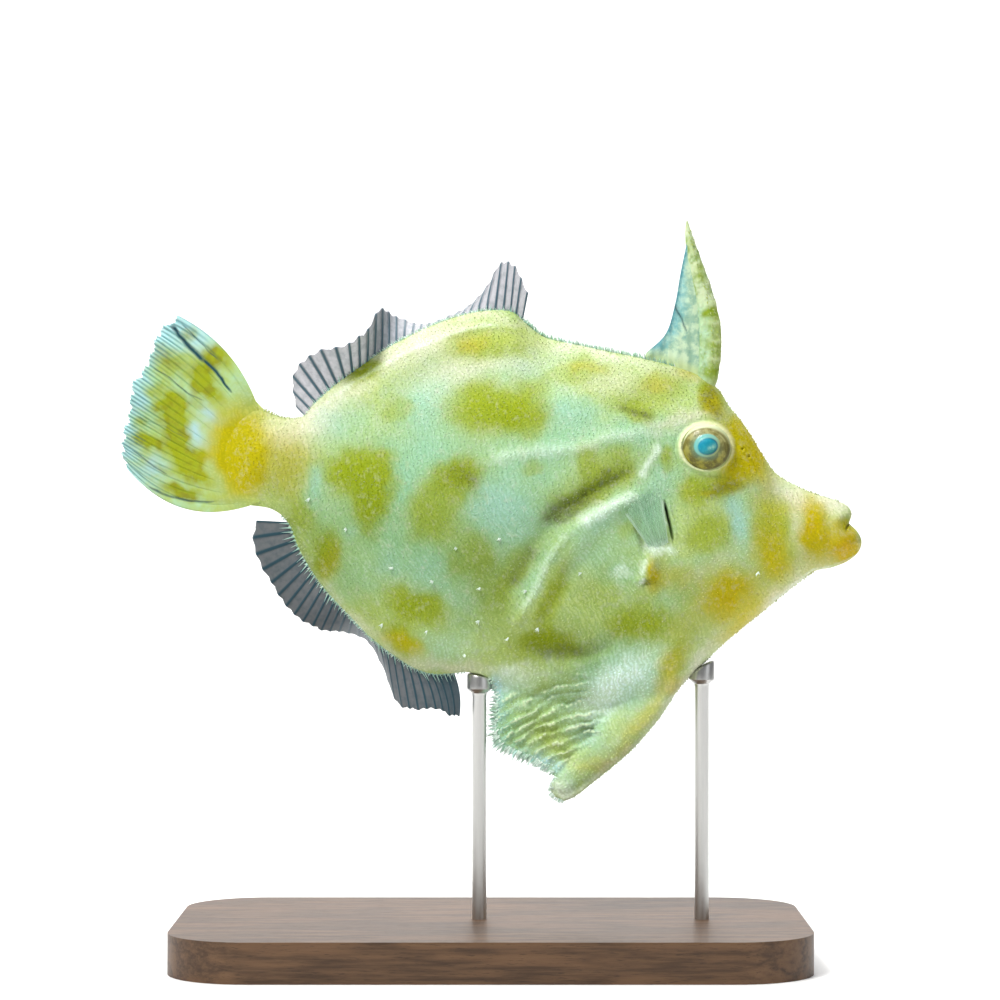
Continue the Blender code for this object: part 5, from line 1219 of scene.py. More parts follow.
def wood_finish():
    finish = Finish("walnut_base")
    along = finish.stretched((1.0, 7.0, 7.0))
    ringed = finish.noise(34.0, 3.0, 0.5, along)
    streak = finish.noise(210.0, 4.0, 0.65, finish.stretched((0.5, 9.0, 9.0)))
    pores = finish.noise(900.0, 2.0, 0.6, finish.stretched((0.6, 9.0, 9.0)))
    bands = (ringed * 22.0).sine() * 0.5 + 0.5
    colour = finish.mix(bands, (0.050, 0.024, 0.010), (0.115, 0.058, 0.026))
    colour = finish.mix(streak.between(0.35, 0.7) * 0.5, colour, (0.16, 0.085, 0.04))
    colour = finish.mix(pores.between(0.58, 0.72) * 0.7, colour, (0.02, 0.010, 0.005))
    height = streak * 0.4 - pores.between(0.58, 0.75) * 0.6
    return finish.set(Base_Color=colour, Roughness=0.42 + pores * 0.2,
                      Normal=finish.bump(height, 0.25, 0.0001), Coat_Weight=0.12,
                      Coat_Roughness=0.25, Specular_IOR_Level=0.35)


def steel_finish():
    finish = Finish("brushed_steel")
    brushed = finish.noise(260.0, 4.0, 0.7, finish.stretched((9.0, 9.0, 0.6)))
    tone = finish.mix(brushed, (0.50, 0.50, 0.49), (0.66, 0.66, 0.64))
    return finish.set(Base_Color=tone, Metallic=1.0, Roughness=0.24 + brushed * 0.16,
                      Normal=finish.bump(brushed, 0.2, 0.00004))


def floor_finish():
    finish = Finish("pale_floor")
    return finish.set(Base_Color=(0.90, 0.90, 0.90), Roughness=0.6)


def fin_grid(root, keys, shares, rows, reach):
    """Middle surface of a fin: one column for each share of the root, one row for each step out."""
    along = np.linspace(0, 1, len(root))
    base = np.column_stack([np.interp(shares, along, root[:, k]) for k in range(2)])
    line = smooth_line([(k[0] * 40, k[1], k[2], k[3], k[4]) for k in keys], 0.15)
    tip, bow, swing = (
        np.column_stack([np.interp(shares * 40, line[:, 0], line[:, k]) for k in columns])
        for columns in ((1, 2), (3,), (4,))
    )
    out = tip - base
    across = np.column_stack([-out[:, 1], out[:, 0]])
    across /= np.maximum(np.linalg.norm(across, axis=1), 1e-6)[:, None]
    v = rows[None, :, None]
    far = v * reach[:, None, None]
    flat = base[:, None] + out[:, None] * far + across[:, None] * (bow * 4)[:, None] * v * (1 - v)
    side = swing[:, None] * np.clip(far, 0, None) ** 1.5
    return np.concatenate([flat[..., :1], side, flat[..., 1:]], axis=2)


def sheet(name, grid, half, flat=False):
    """A closed sheet about a grid of points, with the half-thickness given for each point."""
    normal = np.cross(np.gradient(grid, axis=0), np.gradient(grid, axis=1))
    if flat:
        normal[..., [0, 2]] = 0
    normal /= np.linalg.norm(normal, axis=2)[..., None]
    columns, rows = grid.shape[:2]
    points = np.concatenate([(grid + normal * half[..., None]).reshape(-1, 3),
                             (grid - normal * half[..., None]).reshape(-1, 3)])
    count = columns * rows
    index = np.arange(count).reshape(columns, rows)
    quads = np.stack([index[:-1, :-1], index[1:, :-1], index[1:, 1:], index[:-1, 1:]], axis=-1).reshape(-1, 4)
    loop = np.concatenate([index[:, 0], index[-1, 1:], index[-2::-1, -1], index[0, -2:0:-1]])
    rim = np.column_stack([np.roll(loop, -1), loop, loop + count, np.roll(loop, -1) + count])
    return mesh_from(name, points, np.vstack([quads, quads[:, ::-1] + count, rim]))


def both_faces(values):
    return np.concatenate([np.ravel(values)] * 2)


def rooted(stroke, first, last, depth):
    """The root line of a fin, sunk a little in the body's edge between two of its points."""
    line = smooth_line(stroke[first:last], 0.3)
    normals = outward(line)
    away = np.sign(((line - (0.0, 68.0)) * normals).sum(axis=1))[:, None]
    return line - normals * away * depth


def ray_profile(rays, per_ray, ray_half):
    """Columns across a fin, and how much of a ray each carries."""
    count = (rays - 1) * per_ray + 1
    shares = np.linspace(0, 1, count)
    offset = (np.arange(count) + per_ray / 2) % per_ray - per_ray / 2
    offset = offset / per_ray
    crest = np.exp(-((offset / ray_half) ** 2) * 1.4)
    number = np.round(shares * (rays - 1)).astype(int)
    return shares, offset, crest, number


def soft_fin(name, root, keys, rays, finish, replaces, deep, notch=0.045, seed=3):
    """A soft fin: jointed rays as ridges in a thin membrane, its margin notched between them."""
    per_ray, row_count = ((10, 34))
    shares, offset, crest, number = ray_profile(rays, per_ray, 0.17)
    draw = np.random.default_rng(seed)
    reach_of_ray = 1 + draw.uniform(-0.02, 0.02, rays)
    reach = reach_of_ray[number] * (1 - notch * (0.5 - 0.5 * np.cos(2 * math.pi * offset)))
    rows = np.linspace(0, 1, row_count) ** 0.92
    grid = fin_grid(root, keys, shares, rows, reach)
    grid[..., 1] += 0.04 * np.sin(math.pi * rows)[None, :] * np.cos(2 * math.pi * offset)[:, None]
    ray = crest[:, None] * (1.0 - 0.35 * rows)[None, :]
    half = 0.06 + (0.17 - 0.08 * rows)[None, :] * crest[:, None]
    half[:, -1] *= 0.6
    mesh = sheet(name, grid, half)
    add_values(mesh, "ray", both_faces(held(ray * 1.25)))
    darker = sum(strength * bell(shares - place, spread) for place, spread, strength in deep)
    add_values(mesh, "deep", both_faces(darker[:, None] * (1.0 - 0.35 * rows)[None, :]))
    root_share = bell(rows, 0.10)[None, :] * (0.35 + 0.65 * crest[:, None])
    add_values(mesh, "root", both_faces(root_share))
    add_values(mesh, "rim", np.zeros(len(mesh.vertices)))
    return piece(name, mesh, finish, replaces)


def make_tail(finish):
    """The tail fin: branched rays, pleats between some of them, a ragged hem."""
    per_ray, row_count = ((22, 64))
    shares, offset, _, number = ray_profile(TAIL_RAYS, per_ray, 0.2)
    rows = np.linspace(-0.14, 1, row_count)
    v = rows[None, :]
    split = held((v - 0.22) / 0.25) * 0.17
    again = held((v - 0.58) / 0.25) * 0.085
    o = np.abs(offset)[:, None]
    narrow = 0.042 + 0.02 * held(v)
    groove = bell(o - 0.5, narrow) + bell(o, narrow) * split / 0.17
    groove += 0.8 * bell(o - 0.25, narrow) * again / 0.085
    draw = np.random.default_rng(11)
    ragged = 1 + draw.uniform(-0.012, 0.012, TAIL_RAYS)[number]
    ragged = ragged * (1 - 0.02 * (0.5 - 0.5 * np.cos(2 * math.pi * offset)))
    tips = np.abs(np.abs(np.abs(offset) - 0.17) - 0.085)
    ragged = ragged + 0.016 * bell(tips, 0.05) + 0.006 * np.sin(shares * 170)
    root = rooted(TAIL_ROOT, 0, len(TAIL_ROOT), 0.0)[::-1]
    grid = fin_grid(root, TAIL, shares, rows, ragged)
    pleats = ((0.105, 0.55, 0.02), (0.34, 0.35, 0.016), (0.62, 0.25, 0.016), (0.93, 0.3, 0.016))
    for place, height, spread in pleats:
        step = np.tanh((shares - place) / spread)[:, None]
        grid[..., 1] += 0.5 * height * step * np.sin(math.pi * held(v) ** 0.8)
    px, pz = grid[..., 0].ravel(), grid[..., 2].ravel()
    fold = lines(px, pz, TAIL_FOLDS, 145).reshape(len(shares), -1)
    fade = held((v - 0.03) / 0.25)
    groove = held(groove) * fade
    half = 0.24 - 0.08 * held(v) - 0.09 * groove
    half = half + 0.18 * held(1 - v / 0.2) - 0.06 * fold
    half = half * np.clip((v + 0.16) / 0.1, 0.2, 1)
    half[:, -1] *= 0.5
    mesh = sheet("tail_fin_visual", grid, half)
    add_values(mesh, "olive", both_faces(spots(px, pz, TAIL_SPOTS, 0.28, 140)))
    add_values(mesh, "clear", both_faces(spots(px, pz, TAIL_CLEAR, 0.4, 142)))
    add_values(mesh, "gold", both_faces(spots(px, pz, GOLD, 0.3, 90)))
    add_values(mesh, "ray", both_faces(1 - groove))
    add_values(mesh, "near", both_faces((1 - fade) * np.ones((len(shares), 1))))
    add_values(mesh, "fold", both_faces(fold))
    add_values(mesh, "outer", both_faces(held((v - 0.35) / 0.5) * np.ones((len(shares), 1))))
    waver = 0.10 * rough(shares * 9, shares * 0, 1.0, 151, 3)[:, None]
    edges = held((v - 0.80 + waver) / 0.16)
    corner = bell(shares, 0.09)[:, None] * held((v - 0.45) / 0.3) * 0.9
    low_corner = bell(shares - 1, 0.12)[:, None] * held((v - 0.6) / 0.3) * 0.8
    hem = np.maximum(np.maximum(edges, corner), low_corner)
    add_values(mesh, "hem", both_faces(hem * np.ones((len(shares), 1))))
    return piece("tail_fin_visual", mesh, finish, ("tail_fin",))


def make_web(finish):
    """The membrane behind the spine, with one fold near its top."""
    shares = np.linspace(0, 1, 60)
    rows = np.linspace(0, 1, 70)
    root = smooth_line(WEB_ROOT, 0.3) - (0, 1.0)
    grid = fin_grid(root, WEB, shares, rows, np.full(len(shares), 0.985))
    v = rows[None, :]
    s = shares[:, None]
    px, pz = grid[..., 0].ravel(), grid[..., 2].ravel()
    line = lines(px, pz, WEB_FOLD, 165).reshape(len(shares), -1)
    grid[..., 1] += 0.16 * np.sin(s * 9 + v * 4) * np.sin(math.pi * v) + 0.15 * line
    half = 0.30 - 0.16 * s + 0.05 * np.cos(s * 40) - 0.08 * line
    mesh = sheet("spine_web_visual", grid, np.maximum(half, 0.1), flat=True)
    add_values(mesh, "fold", both_faces(line))
    rear_edge = smooth_line([key[1:3] for key in WEB], 0.3)
    from_rear = from_line(np.column_stack([px, pz]), rear_edge)
    band = np.interp(pz, (90, 94, 98, 101, 104, 107), (1.3, 2.0, 2.1, 1.3, 0.7, 0.4))
    add_values(mesh, "pale", both_faces(held(from_rear / band - 0.35)))
    add_values(mesh, "low", both_faces(held((91.6 - 0.32 * (px - 24.0) - pz) / 1.3)))
    add_values(mesh, "rear", both_faces(bell(from_rear, 0.45)))
    add_values(mesh, "ray", both_faces(np.cos(s * 60) * np.ones_like(v)))
    return piece("spine_web_visual", mesh, finish, ("spine_web",))


def make_pectoral(name, side, finish):
    """A pectoral fin of branched rays, lying back along the flank."""
    per_ray, row_count = ((10, 30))
    shares, offset, crest, number = ray_profile(PECTORAL_RAYS, per_ray, 0.16)
    rows = np.linspace(0, 1, row_count)
    reach = 1 - 0.06 * np.sin(math.pi * np.abs(offset)) ** 1.4
    root = smooth_line(PECTORAL_ROOT, 0.2)
    grid = fin_grid(root, PECTORAL, shares, rows, reach)
    flat = grid[..., [0, 2]].reshape(-1, 2)
    edge = edge_of(flat)
    smooth = thick_body(*flat.T) + hills(*flat.T, MODELLING)
    flank = smooth.reshape(grid.shape[:2])
    half = 0.08 + (0.05 - 0.02 * rows)[None, :] * crest[:, None]
    grid[..., 1] = flank + half + PECTORAL_LIFT * held(rows * 4)[None, :] + grid[..., 1]
    grid[..., 1] -= 0.5 * bell(rows, 0.12)[None, :]
    grid[..., 1] += 0.12 * np.sin(math.pi * rows)[None, :] * np.sin(shares * 13)[:, None]
    grid[..., 1] *= side
    mesh = sheet(name, grid, half, flat=True)
    add_values(mesh, "ray", both_faces(held(crest[:, None] * (1.2 - 0.4 * rows)[None, :])))
    add_values(mesh, "deep", np.zeros(len(mesh.vertices)))
    add_values(mesh, "root", both_faces(bell(rows, 0.14)[None, :] * np.ones((len(shares), 1))))
    rim = bell(shares - 1, 0.06) + 0.7 * bell(shares, 0.05)
    rim += 0.45 * bell(shares - 0.62, 0.03) + 0.3 * bell(shares - 0.3, 0.03)
    add_values(mesh, "rim", both_faces(rim[:, None] * np.ones(row_count)))
    node = "pectoral_fin_right" if side < 0 else "pectoral_fin_left"
    return piece(name, mesh, finish, (node,))


def make_spine(finish):
    """The first dorsal spine, with bands of low bumps up its front."""
    line = smooth_line(SPINE, 0.22)
    sides = 40
    run = np.gradient(line[:, :2], axis=0)
    run /= np.linalg.norm(run, axis=1)[:, None]
    turn = np.linspace(0, 2 * math.pi, sides, endpoint=False)
    along = np.arange(len(line)) * 0.22
    fore = np.cos(turn)[None, :]
    uneven = 0.18 * rough(turn * 1.5, turn * 0, 0.8, 158, 2)[None, :]
    bands = sum(bell(line[:, 1:2] - at + uneven, 0.34) for at in SPINE_BANDS)
    bands = bands * held(fore * 1.6 + 0.7)
    upper = held((line[:, 1:2] - 99.5) / 2) * held(rough(
        turn[None, :] * np.ones((len(line), 1)), along[:, None] * np.ones((1, sides)), 0.8, 159, 2) * 2)
    bands = held(bands + upper * 0.8)
    around, up = np.meshgrid(turn * 2.2, along)
    bumps = rough(around, up, 0.9, 160, 2)
    size = line[:, 2:3] * (1 + 0.07 * bands + 0.05 * bumps)
    size = size * (1 - 0.10 * bell(fore + 0.35, 0.25))
    x = line[:, :1] + run[:, 1:] * size * fore
    z = line[:, 1:2] - run[:, :1] * size * fore
    y = SPINE_FLATNESS * size * np.sin(turn)[None, :]
    ring = np.stack([x, y, z], axis=-1).reshape(-1, 3)
    count = len(line)
    tip = len(ring)
    points = np.vstack([ring, [[line[-1, 0], 0, line[-1, 1] + 0.1]], [[line[0, 0], 0, line[0, 1]]]])
    index = np.arange(count * sides).reshape(count, sides)
    quads = np.stack([index[:-1], np.roll(index[:-1], -1, 1), np.roll(index[1:], -1, 1), index[1:]], -1)
    faces = [tuple(q) for q in quads.reshape(-1, 4)]
    triangles = []
    for a, b, c, d in faces:
        triangles += [(a, b, c), (a, c, d)]
    triangles += [(index[-1, k], index[-1, (k + 1) % sides], tip) for k in range(sides)]
    triangles += [(index[0, (k + 1) % sides], index[0, k], tip + 1) for k in range(sides)]
    mesh = mesh_from("dorsal_spine_visual", points, triangles)
    px, pz = points[:, 0], points[:, 2]
    add_values(mesh, "olive", spots(px, pz, SPINE_SPOTS, 0.3, 170))
    add_values(mesh, "tip", held((pz - 97.4) / 2.0))
    add_values(mesh, "band", np.concatenate([bands.ravel(), [0, 0]]))
    front = held(fore * 1.1 + 0.35) * np.ones((count, 1))
    add_values(mesh, "front", np.concatenate([front.ravel(), [1, 1]]))
    return piece("dorsal_spine_visual", mesh, finish, ("dorsal_spine",))


def make_eye(name, side, finish):
    """The eyeball: a shallow dome with a low ring round the pupil."""
    rings, sides = ((96, 128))
    reach = np.sin(np.linspace(0, math.pi, rings + 1)[1:-1])
    front = np.linspace(0, math.pi, rings + 1)[1:-1] < math.pi / 2
    turn = np.linspace(0, 2 * math.pi, sides, endpoint=False)
    r = reach[:, None] * EYE_RADIUS * np.ones((1, sides))
    x, z = r * np.cos(turn), r * np.sin(turn)

    def oval(middle, half_sizes, lean):
        a, b = x - middle[0], z - middle[1]
        c, d = math.cos(lean), math.sin(lean)
        return (c * a + d * b) / half_sizes[0], (c * b - d * a) / half_sizes[1]

    px, pz = oval(PUPIL_AT, PUPIL_HALF, PUPIL_LEAN)
    pupil = np.hypot(px, pz)
    ring = np.hypot(*oval(RING_AT, RING_HALF, PUPIL_LEAN))
    outer = r / EYE_RADIUS
    rim = np.hypot(*oval(IRIS_AT, IRIS_HALF, 0.0))
    cap = EYE_HALF_DEPTH * np.sqrt(held(1 - outer**2))
    swell = 0.30 * bell(pupil, 1.2, 4) + 0.04 * bell(ring - 0.9, 0.08)
    y = np.where(front[:, None], cap + swell, -cap)
    base = EYE_BASE + EYE_RISE - 0.22
    points = np.stack([EYE_AT[0] + x, side * (base + y), EYE_AT[1] + z], axis=-1).reshape(-1, 3)
    poles = [(EYE_AT[0], side * (base + EYE_HALF_DEPTH + 0.32), EYE_AT[1]),
             (EYE_AT[0], side * (base - EYE_HALF_DEPTH), EYE_AT[1])]
    points = np.vstack([points, poles])
    count = len(reach)
    index = np.arange(count * sides).reshape(count, sides)
    triangles = []
    for i in range(count - 1):
        for k in range(sides):
            a, b = index[i, k], index[i, (k + 1) % sides]
            c, d = index[i + 1, (k + 1) % sides], index[i + 1, k]
            triangles += [(a, b, c), (a, c, d)]
    triangles += [(index[0, (k + 1) % sides], index[0, k], count * sides) for k in range(sides)]
    triangles += [(index[-1, k], index[-1, (k + 1) % sides], count * sides + 1) for k in range(sides)]
    mesh = mesh_from(name, points, triangles)
    bearing = np.arctan2(z, x)
    ahead = held(1.3 * np.cos(bearing - 0.35) - 0.3)
    arcs = bell(rim - 0.93, 0.045) * ahead
    arcs += 0.7 * bell(rim - 0.80, 0.022) * held(ahead * 1.6 - 0.5)
    values = {
        "pupil": held((1.03 - pupil) / 0.08), "ring": held((1.03 - ring) / 0.08),
        "border": bell(pupil - 0.97, 0.08) * held(0.7 + 0.5 * px - 0.2 * pz),
        "halo": held((1.45 - ring) / 0.4) * held(0.7 - 0.4 * px - 0.3 * pz),
        "rim": held((rim - 0.95) / 0.05) * held(0.55 - 0.35 * np.sin(bearing)), "arcs": arcs,
        "around": np.abs((turn / math.pi) % 2 - 1)[None, :] * np.ones_like(x), "out": rim,
        "glow": held(0.62 - 0.34 * px + 0.34 * pz),
        "upper": held(0.36 + 0.62 * (z * 0.95 + x * 0.12) / 3.0), "white": held((rim - 0.985) / 0.06),
        "lit": held(0.50 + 0.50 * np.sin(bearing - 0.6)),
        "glint": np.exp(-((((x - 0.62) / 0.60) ** 2) + (((z - 0.02 - 0.35 * (x - 0.6)) / 0.40) ** 2))),
        "under": held(-pz * 1.5 - 0.45 + 0.3 * px),
    }
    for key, value in values.items():
        add_values(mesh, key, np.concatenate([value.ravel(), [value[0].mean(), value[-1].mean()]]))
    node = "eye_right" if side < 0 else "eye_left"
    return piece(name, mesh, finish, (node,))


def bristle_tree(name, finish, sides):
    """A node tree that stands a small closed cone on each point of a mesh. Its inputs are the cone's
    length and width and the size of its patch on the unwrap."""
    tree = bpy.data.node_groups.new(name, "GeometryNodeTree")
    inputs = (("Geometry", "NodeSocketGeometry"), ("Length", "NodeSocketFloat"),
              ("Width", "NodeSocketFloat"), ("Patch", "NodeSocketFloat"))
    for label, kind in inputs:
        tree.interface.new_socket(label, in_out="INPUT", socket_type=kind)
    tree.interface.new_socket("Geometry", in_out="OUTPUT", socket_type="NodeSocketGeometry")

    def add(kind, settings=None, values=None):
        made = tree.nodes.new(kind)
        for key, value in (settings or {}).items():
            setattr(made, key, value)
        for key, value in (values or {}).items():
            if isinstance(value, bpy.types.NodeSocket):
                tree.links.new(value, made.inputs[key])
            else:
                made.inputs[key].default_value = value
        return made

    def stored(label, kind):
        return add("GeometryNodeInputNamedAttribute", {"data_type": kind}, {"Name": label}).outputs[0]

    entry = add("NodeGroupInput")
    cone = add("GeometryNodeMeshCone", {"fill_type": "NGON"},
               {"Vertices": sides, "Radius Top": 0.0, "Radius Bottom": entry.outputs["Width"],
                "Depth": entry.outputs["Length"]})
    sunk = add("ShaderNodeCombineXYZ", None, {0: 0.0, 1: 0.0, 2: -0.00004})
    placed = add("GeometryNodeTransform", None, {"Geometry": cone.outputs[0], "Translation": sunk.outputs[0]})
    local = add("GeometryNodeStoreNamedAttribute", {"data_type": "FLOAT_VECTOR", "domain": "POINT"},
                {"Geometry": placed.outputs[0], "Name": "patch",
                 3: add("GeometryNodeInputPosition").outputs[0]})
    lie = add("FunctionNodeAlignRotationToVector", {"axis": "Z"}, {"Vector": stored("lie", "FLOAT_VECTOR")})
    on_points = add("GeometryNodeInstanceOnPoints", None,
                    {"Points": entry.outputs["Geometry"], "Instance": local.outputs[0],
                     "Rotation": lie.outputs[0], "Scale": stored("size", "FLOAT")})
    real = add("GeometryNodeRealizeInstances", None, {"Geometry": on_points.outputs[0]})
    share = add("ShaderNodeMath", {"operation": "DIVIDE"},
                {0: entry.outputs["Patch"], 1: entry.outputs["Width"]})
    spread = add("ShaderNodeVectorMath", {"operation": "SCALE"},
                 {0: stored("patch", "FLOAT_VECTOR"), "Scale": share.outputs[0]})
    at = add("ShaderNodeVectorMath", {"operation": "ADD"},
             {0: spread.outputs[0], 1: stored("root_uv", "FLOAT_VECTOR")})
    mapped = add("GeometryNodeStoreNamedAttribute", {"data_type": "FLOAT2", "domain": "CORNER"},
                 {"Geometry": real.outputs[0], "Name": "OFBake", 3: at.outputs[0]})
    finished = add("GeometryNodeSetMaterial", None, {"Geometry": mapped.outputs[0], "Material": finish})
    leave = add("NodeGroupOutput")
    tree.links.new(finished.outputs[0], leave.inputs[0])
    return tree


def stand_bristles(name, tree, roots, lies, sizes, values, uvs, length, width, slot):
    """Runs the tree on a set of roots and keeps the result as one plain mesh."""
    carrier = bpy.data.meshes.new(name + "_roots")
    carrier.vertices.add(len(roots))
    carrier.vertices.foreach_set("co", (np.asarray(roots) * MM).ravel())
    add_vectors(carrier, "lie", lies)
    add_vectors(carrier, "root_uv", np.column_stack([uvs, np.zeros(len(uvs))]))
    add_values(carrier, "size", sizes)
    for label, numbers in values.items():
        add_values(carrier, label, numbers)
    holder = bpy.data.objects.new(name + "_roots", carrier)
    bpy.context.scene.collection.objects.link(holder)
    step = holder.modifiers.new("bristles", "NODES")
    step.node_group = tree
    settings = {"Length": length * MM, "Width": width * MM, "Patch": PATCH_RADIUS}
    for socket in tree.interface.items_tree:
        if socket.in_out == "INPUT" and socket.name in settings:
            step[socket.identifier] = settings[socket.name]
    graph = bpy.context.evaluated_depsgraph_get()
    mesh = bpy.data.meshes.new_from_object(holder.evaluated_get(graph))
    bpy.data.objects.remove(holder)
    for label in ("lie", "root_uv", "size", "patch"):
        if label in mesh.attributes:
            mesh.attributes.remove(mesh.attributes[label])
    mesh.name = name
    return piece(name, mesh, None)


def skin_frame(points, side):
    """Places on the skin for points of the side view, with the way out of it."""
    edge = edge_of(points)
    step = 0.12
    width = half_width(points, edge)
    moved = []
    for shift in ((step, 0), (0, step)):
        there = points + shift
        moved.append((half_width(there, near_line(there, OUTLINE)[0]) - width) / step)
    normal = np.column_stack([-moved[0], np.ones(len(points)), -moved[1]])
    normal[:, [0, 2]] = np.clip(normal[:, [0, 2]], -2.5, 2.5)
    normal /= np.linalg.norm(normal, axis=1)[:, None]
    place = np.column_stack([points[:, 0], width, points[:, 1]])
    return place * (1, side, 1), normal * (1, side, 1), edge


def make_spinules(tree):
    """The velvet of the skin: a small backward-leaning spinule on every scale."""
    low, high = OUTLINE.min(axis=0), OUTLINE.max(axis=0)
    for side, label in ((-1, "right"), (1, "left")):
        draw = np.random.default_rng(200 + side)
        points = scale_middles(low, high)[:: 1]
        points = points + draw.uniform(-0.17, 0.17, points.shape)
        points = points[inside(points, OUTLINE)]
        edge = edge_of(points)
        from_eye = np.hypot(*(points - EYE_AT).T)
        in_slit = from_line(points, GILL_LINE) < 0.4
        in_mouth = from_line(points, MOUTH_LINE) < 0.5
        keep = (edge > 0.12) & (from_eye > LID_RADIUS + 0.7) & ~in_slit & ~in_mouth
        points = points[keep]
        place, normal, edge = skin_frame(points, side)
        lie = normal + SPINULE_LEAN + draw.uniform(-0.18, 0.18, normal.shape)
        sizes = draw.uniform(0.7, 1.15, len(points))
        sizes *= 1 - 0.35 * held((points[:, 0] - 44) / 8)
        from_tail = from_line(points, TAIL_ROOT_LINE)
        sizes *= 0.3 + 0.7 * held(from_tail / 3.5)
        masks = markings(place[:, 0], place[:, 2])
        strong = 1 - 0.9 * np.maximum(masks["gold"], masks["olive"] * 0.8)
        masks["light"] = np.clip(draw.normal(0.20, 0.16, len(points)), 0.0, 0.8) * strong
        masks["pale"] = np.clip(draw.normal(0.04, 0.07, len(points)), 0.0, 0.4) * (1 - masks["gold"])
        uvs = unwrapped(points[:, 0], points[:, 1], np.full(len(points), side > 0))
        stand_bristles("spinules_" + label, tree, place, lie, sizes, masks, uvs, *SPINULE_SIZE, "skin")


def edge_strip(stroke, first, last, spacing, jitter, seed):
    """Places along the rim of the body, with the way out of it."""
    line = smooth_line(stroke[first:last], spacing)
    draw = np.random.default_rng(seed)
    normals = outward(line)
    away = np.sign(((line - (4.0, 66.0)) * normals).sum(axis=1))[:, None]
    out = normals * away
    shift = draw.uniform(-jitter, jitter, (len(line), 1)) * np.roll(out, 1, axis=1) * (1, -1)
    return line + shift, out, draw


def make_fringe(tree):
    """Longer bristles along the back, the snout and the belly, where they break the outline."""
    strips = [
        (BACK, 11, 16, 0.16, 0.95), (BACK, 4, 12, 0.20, 0.60), (BACK, 17, 26, 0.20, 0.46),
        (THROAT, 6, 17, 0.20, 0.46), (BELLY, 1, 14, 0.20, 0.60), (BACK, 1, 5, 0.20, 0.46),
        (FLAP_EDGE, 1, 8, 0.16, 1.45), (FLAP_EDGE, 6, 10, 0.18, 0.9), (STUB, 0, 4, 0.16, 0.95),
        (FLAP_EDGE, 2, 6, 0.45, 2.0),
    ]
    for number, (stroke, first, last, spacing, length) in enumerate(strips):
        spacing /= 1
        line, out, draw = edge_strip(stroke, first, last, spacing, 0.1, 220 + number)
        count = 3
        roots, lies, sizes, spots_at = [], [], [], []
        for row in range(count):
            y = (row - 1) * 0.22
            roots.append(np.column_stack([line[:, 0] - out[:, 0] * 0.12, np.full(len(line), y),
                                          line[:, 1] - out[:, 1] * 0.12]))
            lie = np.column_stack([out[:, 0] - 0.35, np.full(len(line), y * 2.4), out[:, 1] - 0.1])
            lies.append(lie + draw.uniform(-0.35, 0.35, lie.shape))
            sizes.append(draw.uniform(0.45, 1.2, len(line)))
            spots_at.append(line)
        roots, lies = np.vstack(roots), np.vstack(lies)
        flat = np.vstack(spots_at)
        masks = markings(flat[:, 0], flat[:, 1])
        hem = stroke is FLAP_EDGE or stroke is STUB
        masks["light"] = draw.uniform(0.0, 0.3, len(flat))
        fewer_pale = 0.4 if stroke is STUB else 1.0 if hem else 2.0
        masks["pale"] = draw.uniform(0.0, 1.0, len(flat)) ** fewer_pale * 0.9
        masks["tone"] = draw.uniform(-1.0, 0.3, len(flat))
        masks["cream"] *= 0.3
        if hem or stroke is BELLY or first in (4, 11):
            masks["aqua"] = np.maximum(masks["aqua"], 0.9)
            masks["blue"] = np.maximum(masks["blue"], draw.uniform(0.2, 1.0, len(flat)))
        uvs = unwrapped(flat[:, 0], flat[:, 1], np.zeros(len(flat)))
        stand_bristles(f"fringe_{number}", tree, roots, lies, np.concatenate(sizes), masks, uvs,
                       length, 0.10 + 0.05 * length, "skin")


def make_tags(tree):
    """Small branched tags of skin, and the pale tufts at the ends of the flap's rows of scales."""
    draw = np.random.default_rng(230)
    for side, label in ((-1, "right"), (1, "left")):
        centres = np.array(TAGS) + (0 if side < 0 else draw.uniform(-2.0, 2.0, (len(TAGS), 2)))
        roots = np.repeat(centres, 9, axis=0) + draw.uniform(-0.14, 0.14, (len(TAGS) * 9, 2))
        hem = smooth_line(FLAP_EDGE, 0.42)[2:-2]
        tufts = np.repeat(hem, 5, axis=0) + draw.uniform(-0.3, 0.45, (len(hem) * 5, 2)) * (1.0, 0.6)
        tufts = tufts[inside(tufts, OUTLINE)]
        points = np.vstack([roots, tufts])
        place, normal, edge = skin_frame(points, side)
        tag = np.arange(len(points)) < len(roots)
        hang = np.where(tag[:, None], (-0.25, 0, -0.15), (-0.9, 0, -0.75))
        lie = normal * np.where(tag, 0.9, 0.40)[:, None] + hang + draw.uniform(-0.45, 0.45, normal.shape)
        sizes = np.where(tag, draw.uniform(0.6, 1.1, len(points)), draw.uniform(0.6, 1.5, len(points)))
        masks = {key: np.zeros(len(points)) for key in MASKS}
        masks["aqua"] = np.full(len(points), 1.0)
        masks["blue"] = np.where(tag, 0.2, 0.8 * draw.uniform(0, 1, len(points)) ** 2)
        masks["pale"] = np.where(tag, 1.0, draw.uniform(0.25, 0.95, len(points)))
        masks["light"] = np.zeros(len(points))
        uvs = unwrapped(points[:, 0], points[:, 1], np.full(len(points), side > 0))
        stand_bristles("skin_tags_" + label, tree, place, lie, sizes, masks, uvs, *TAG_SIZE, "skin")


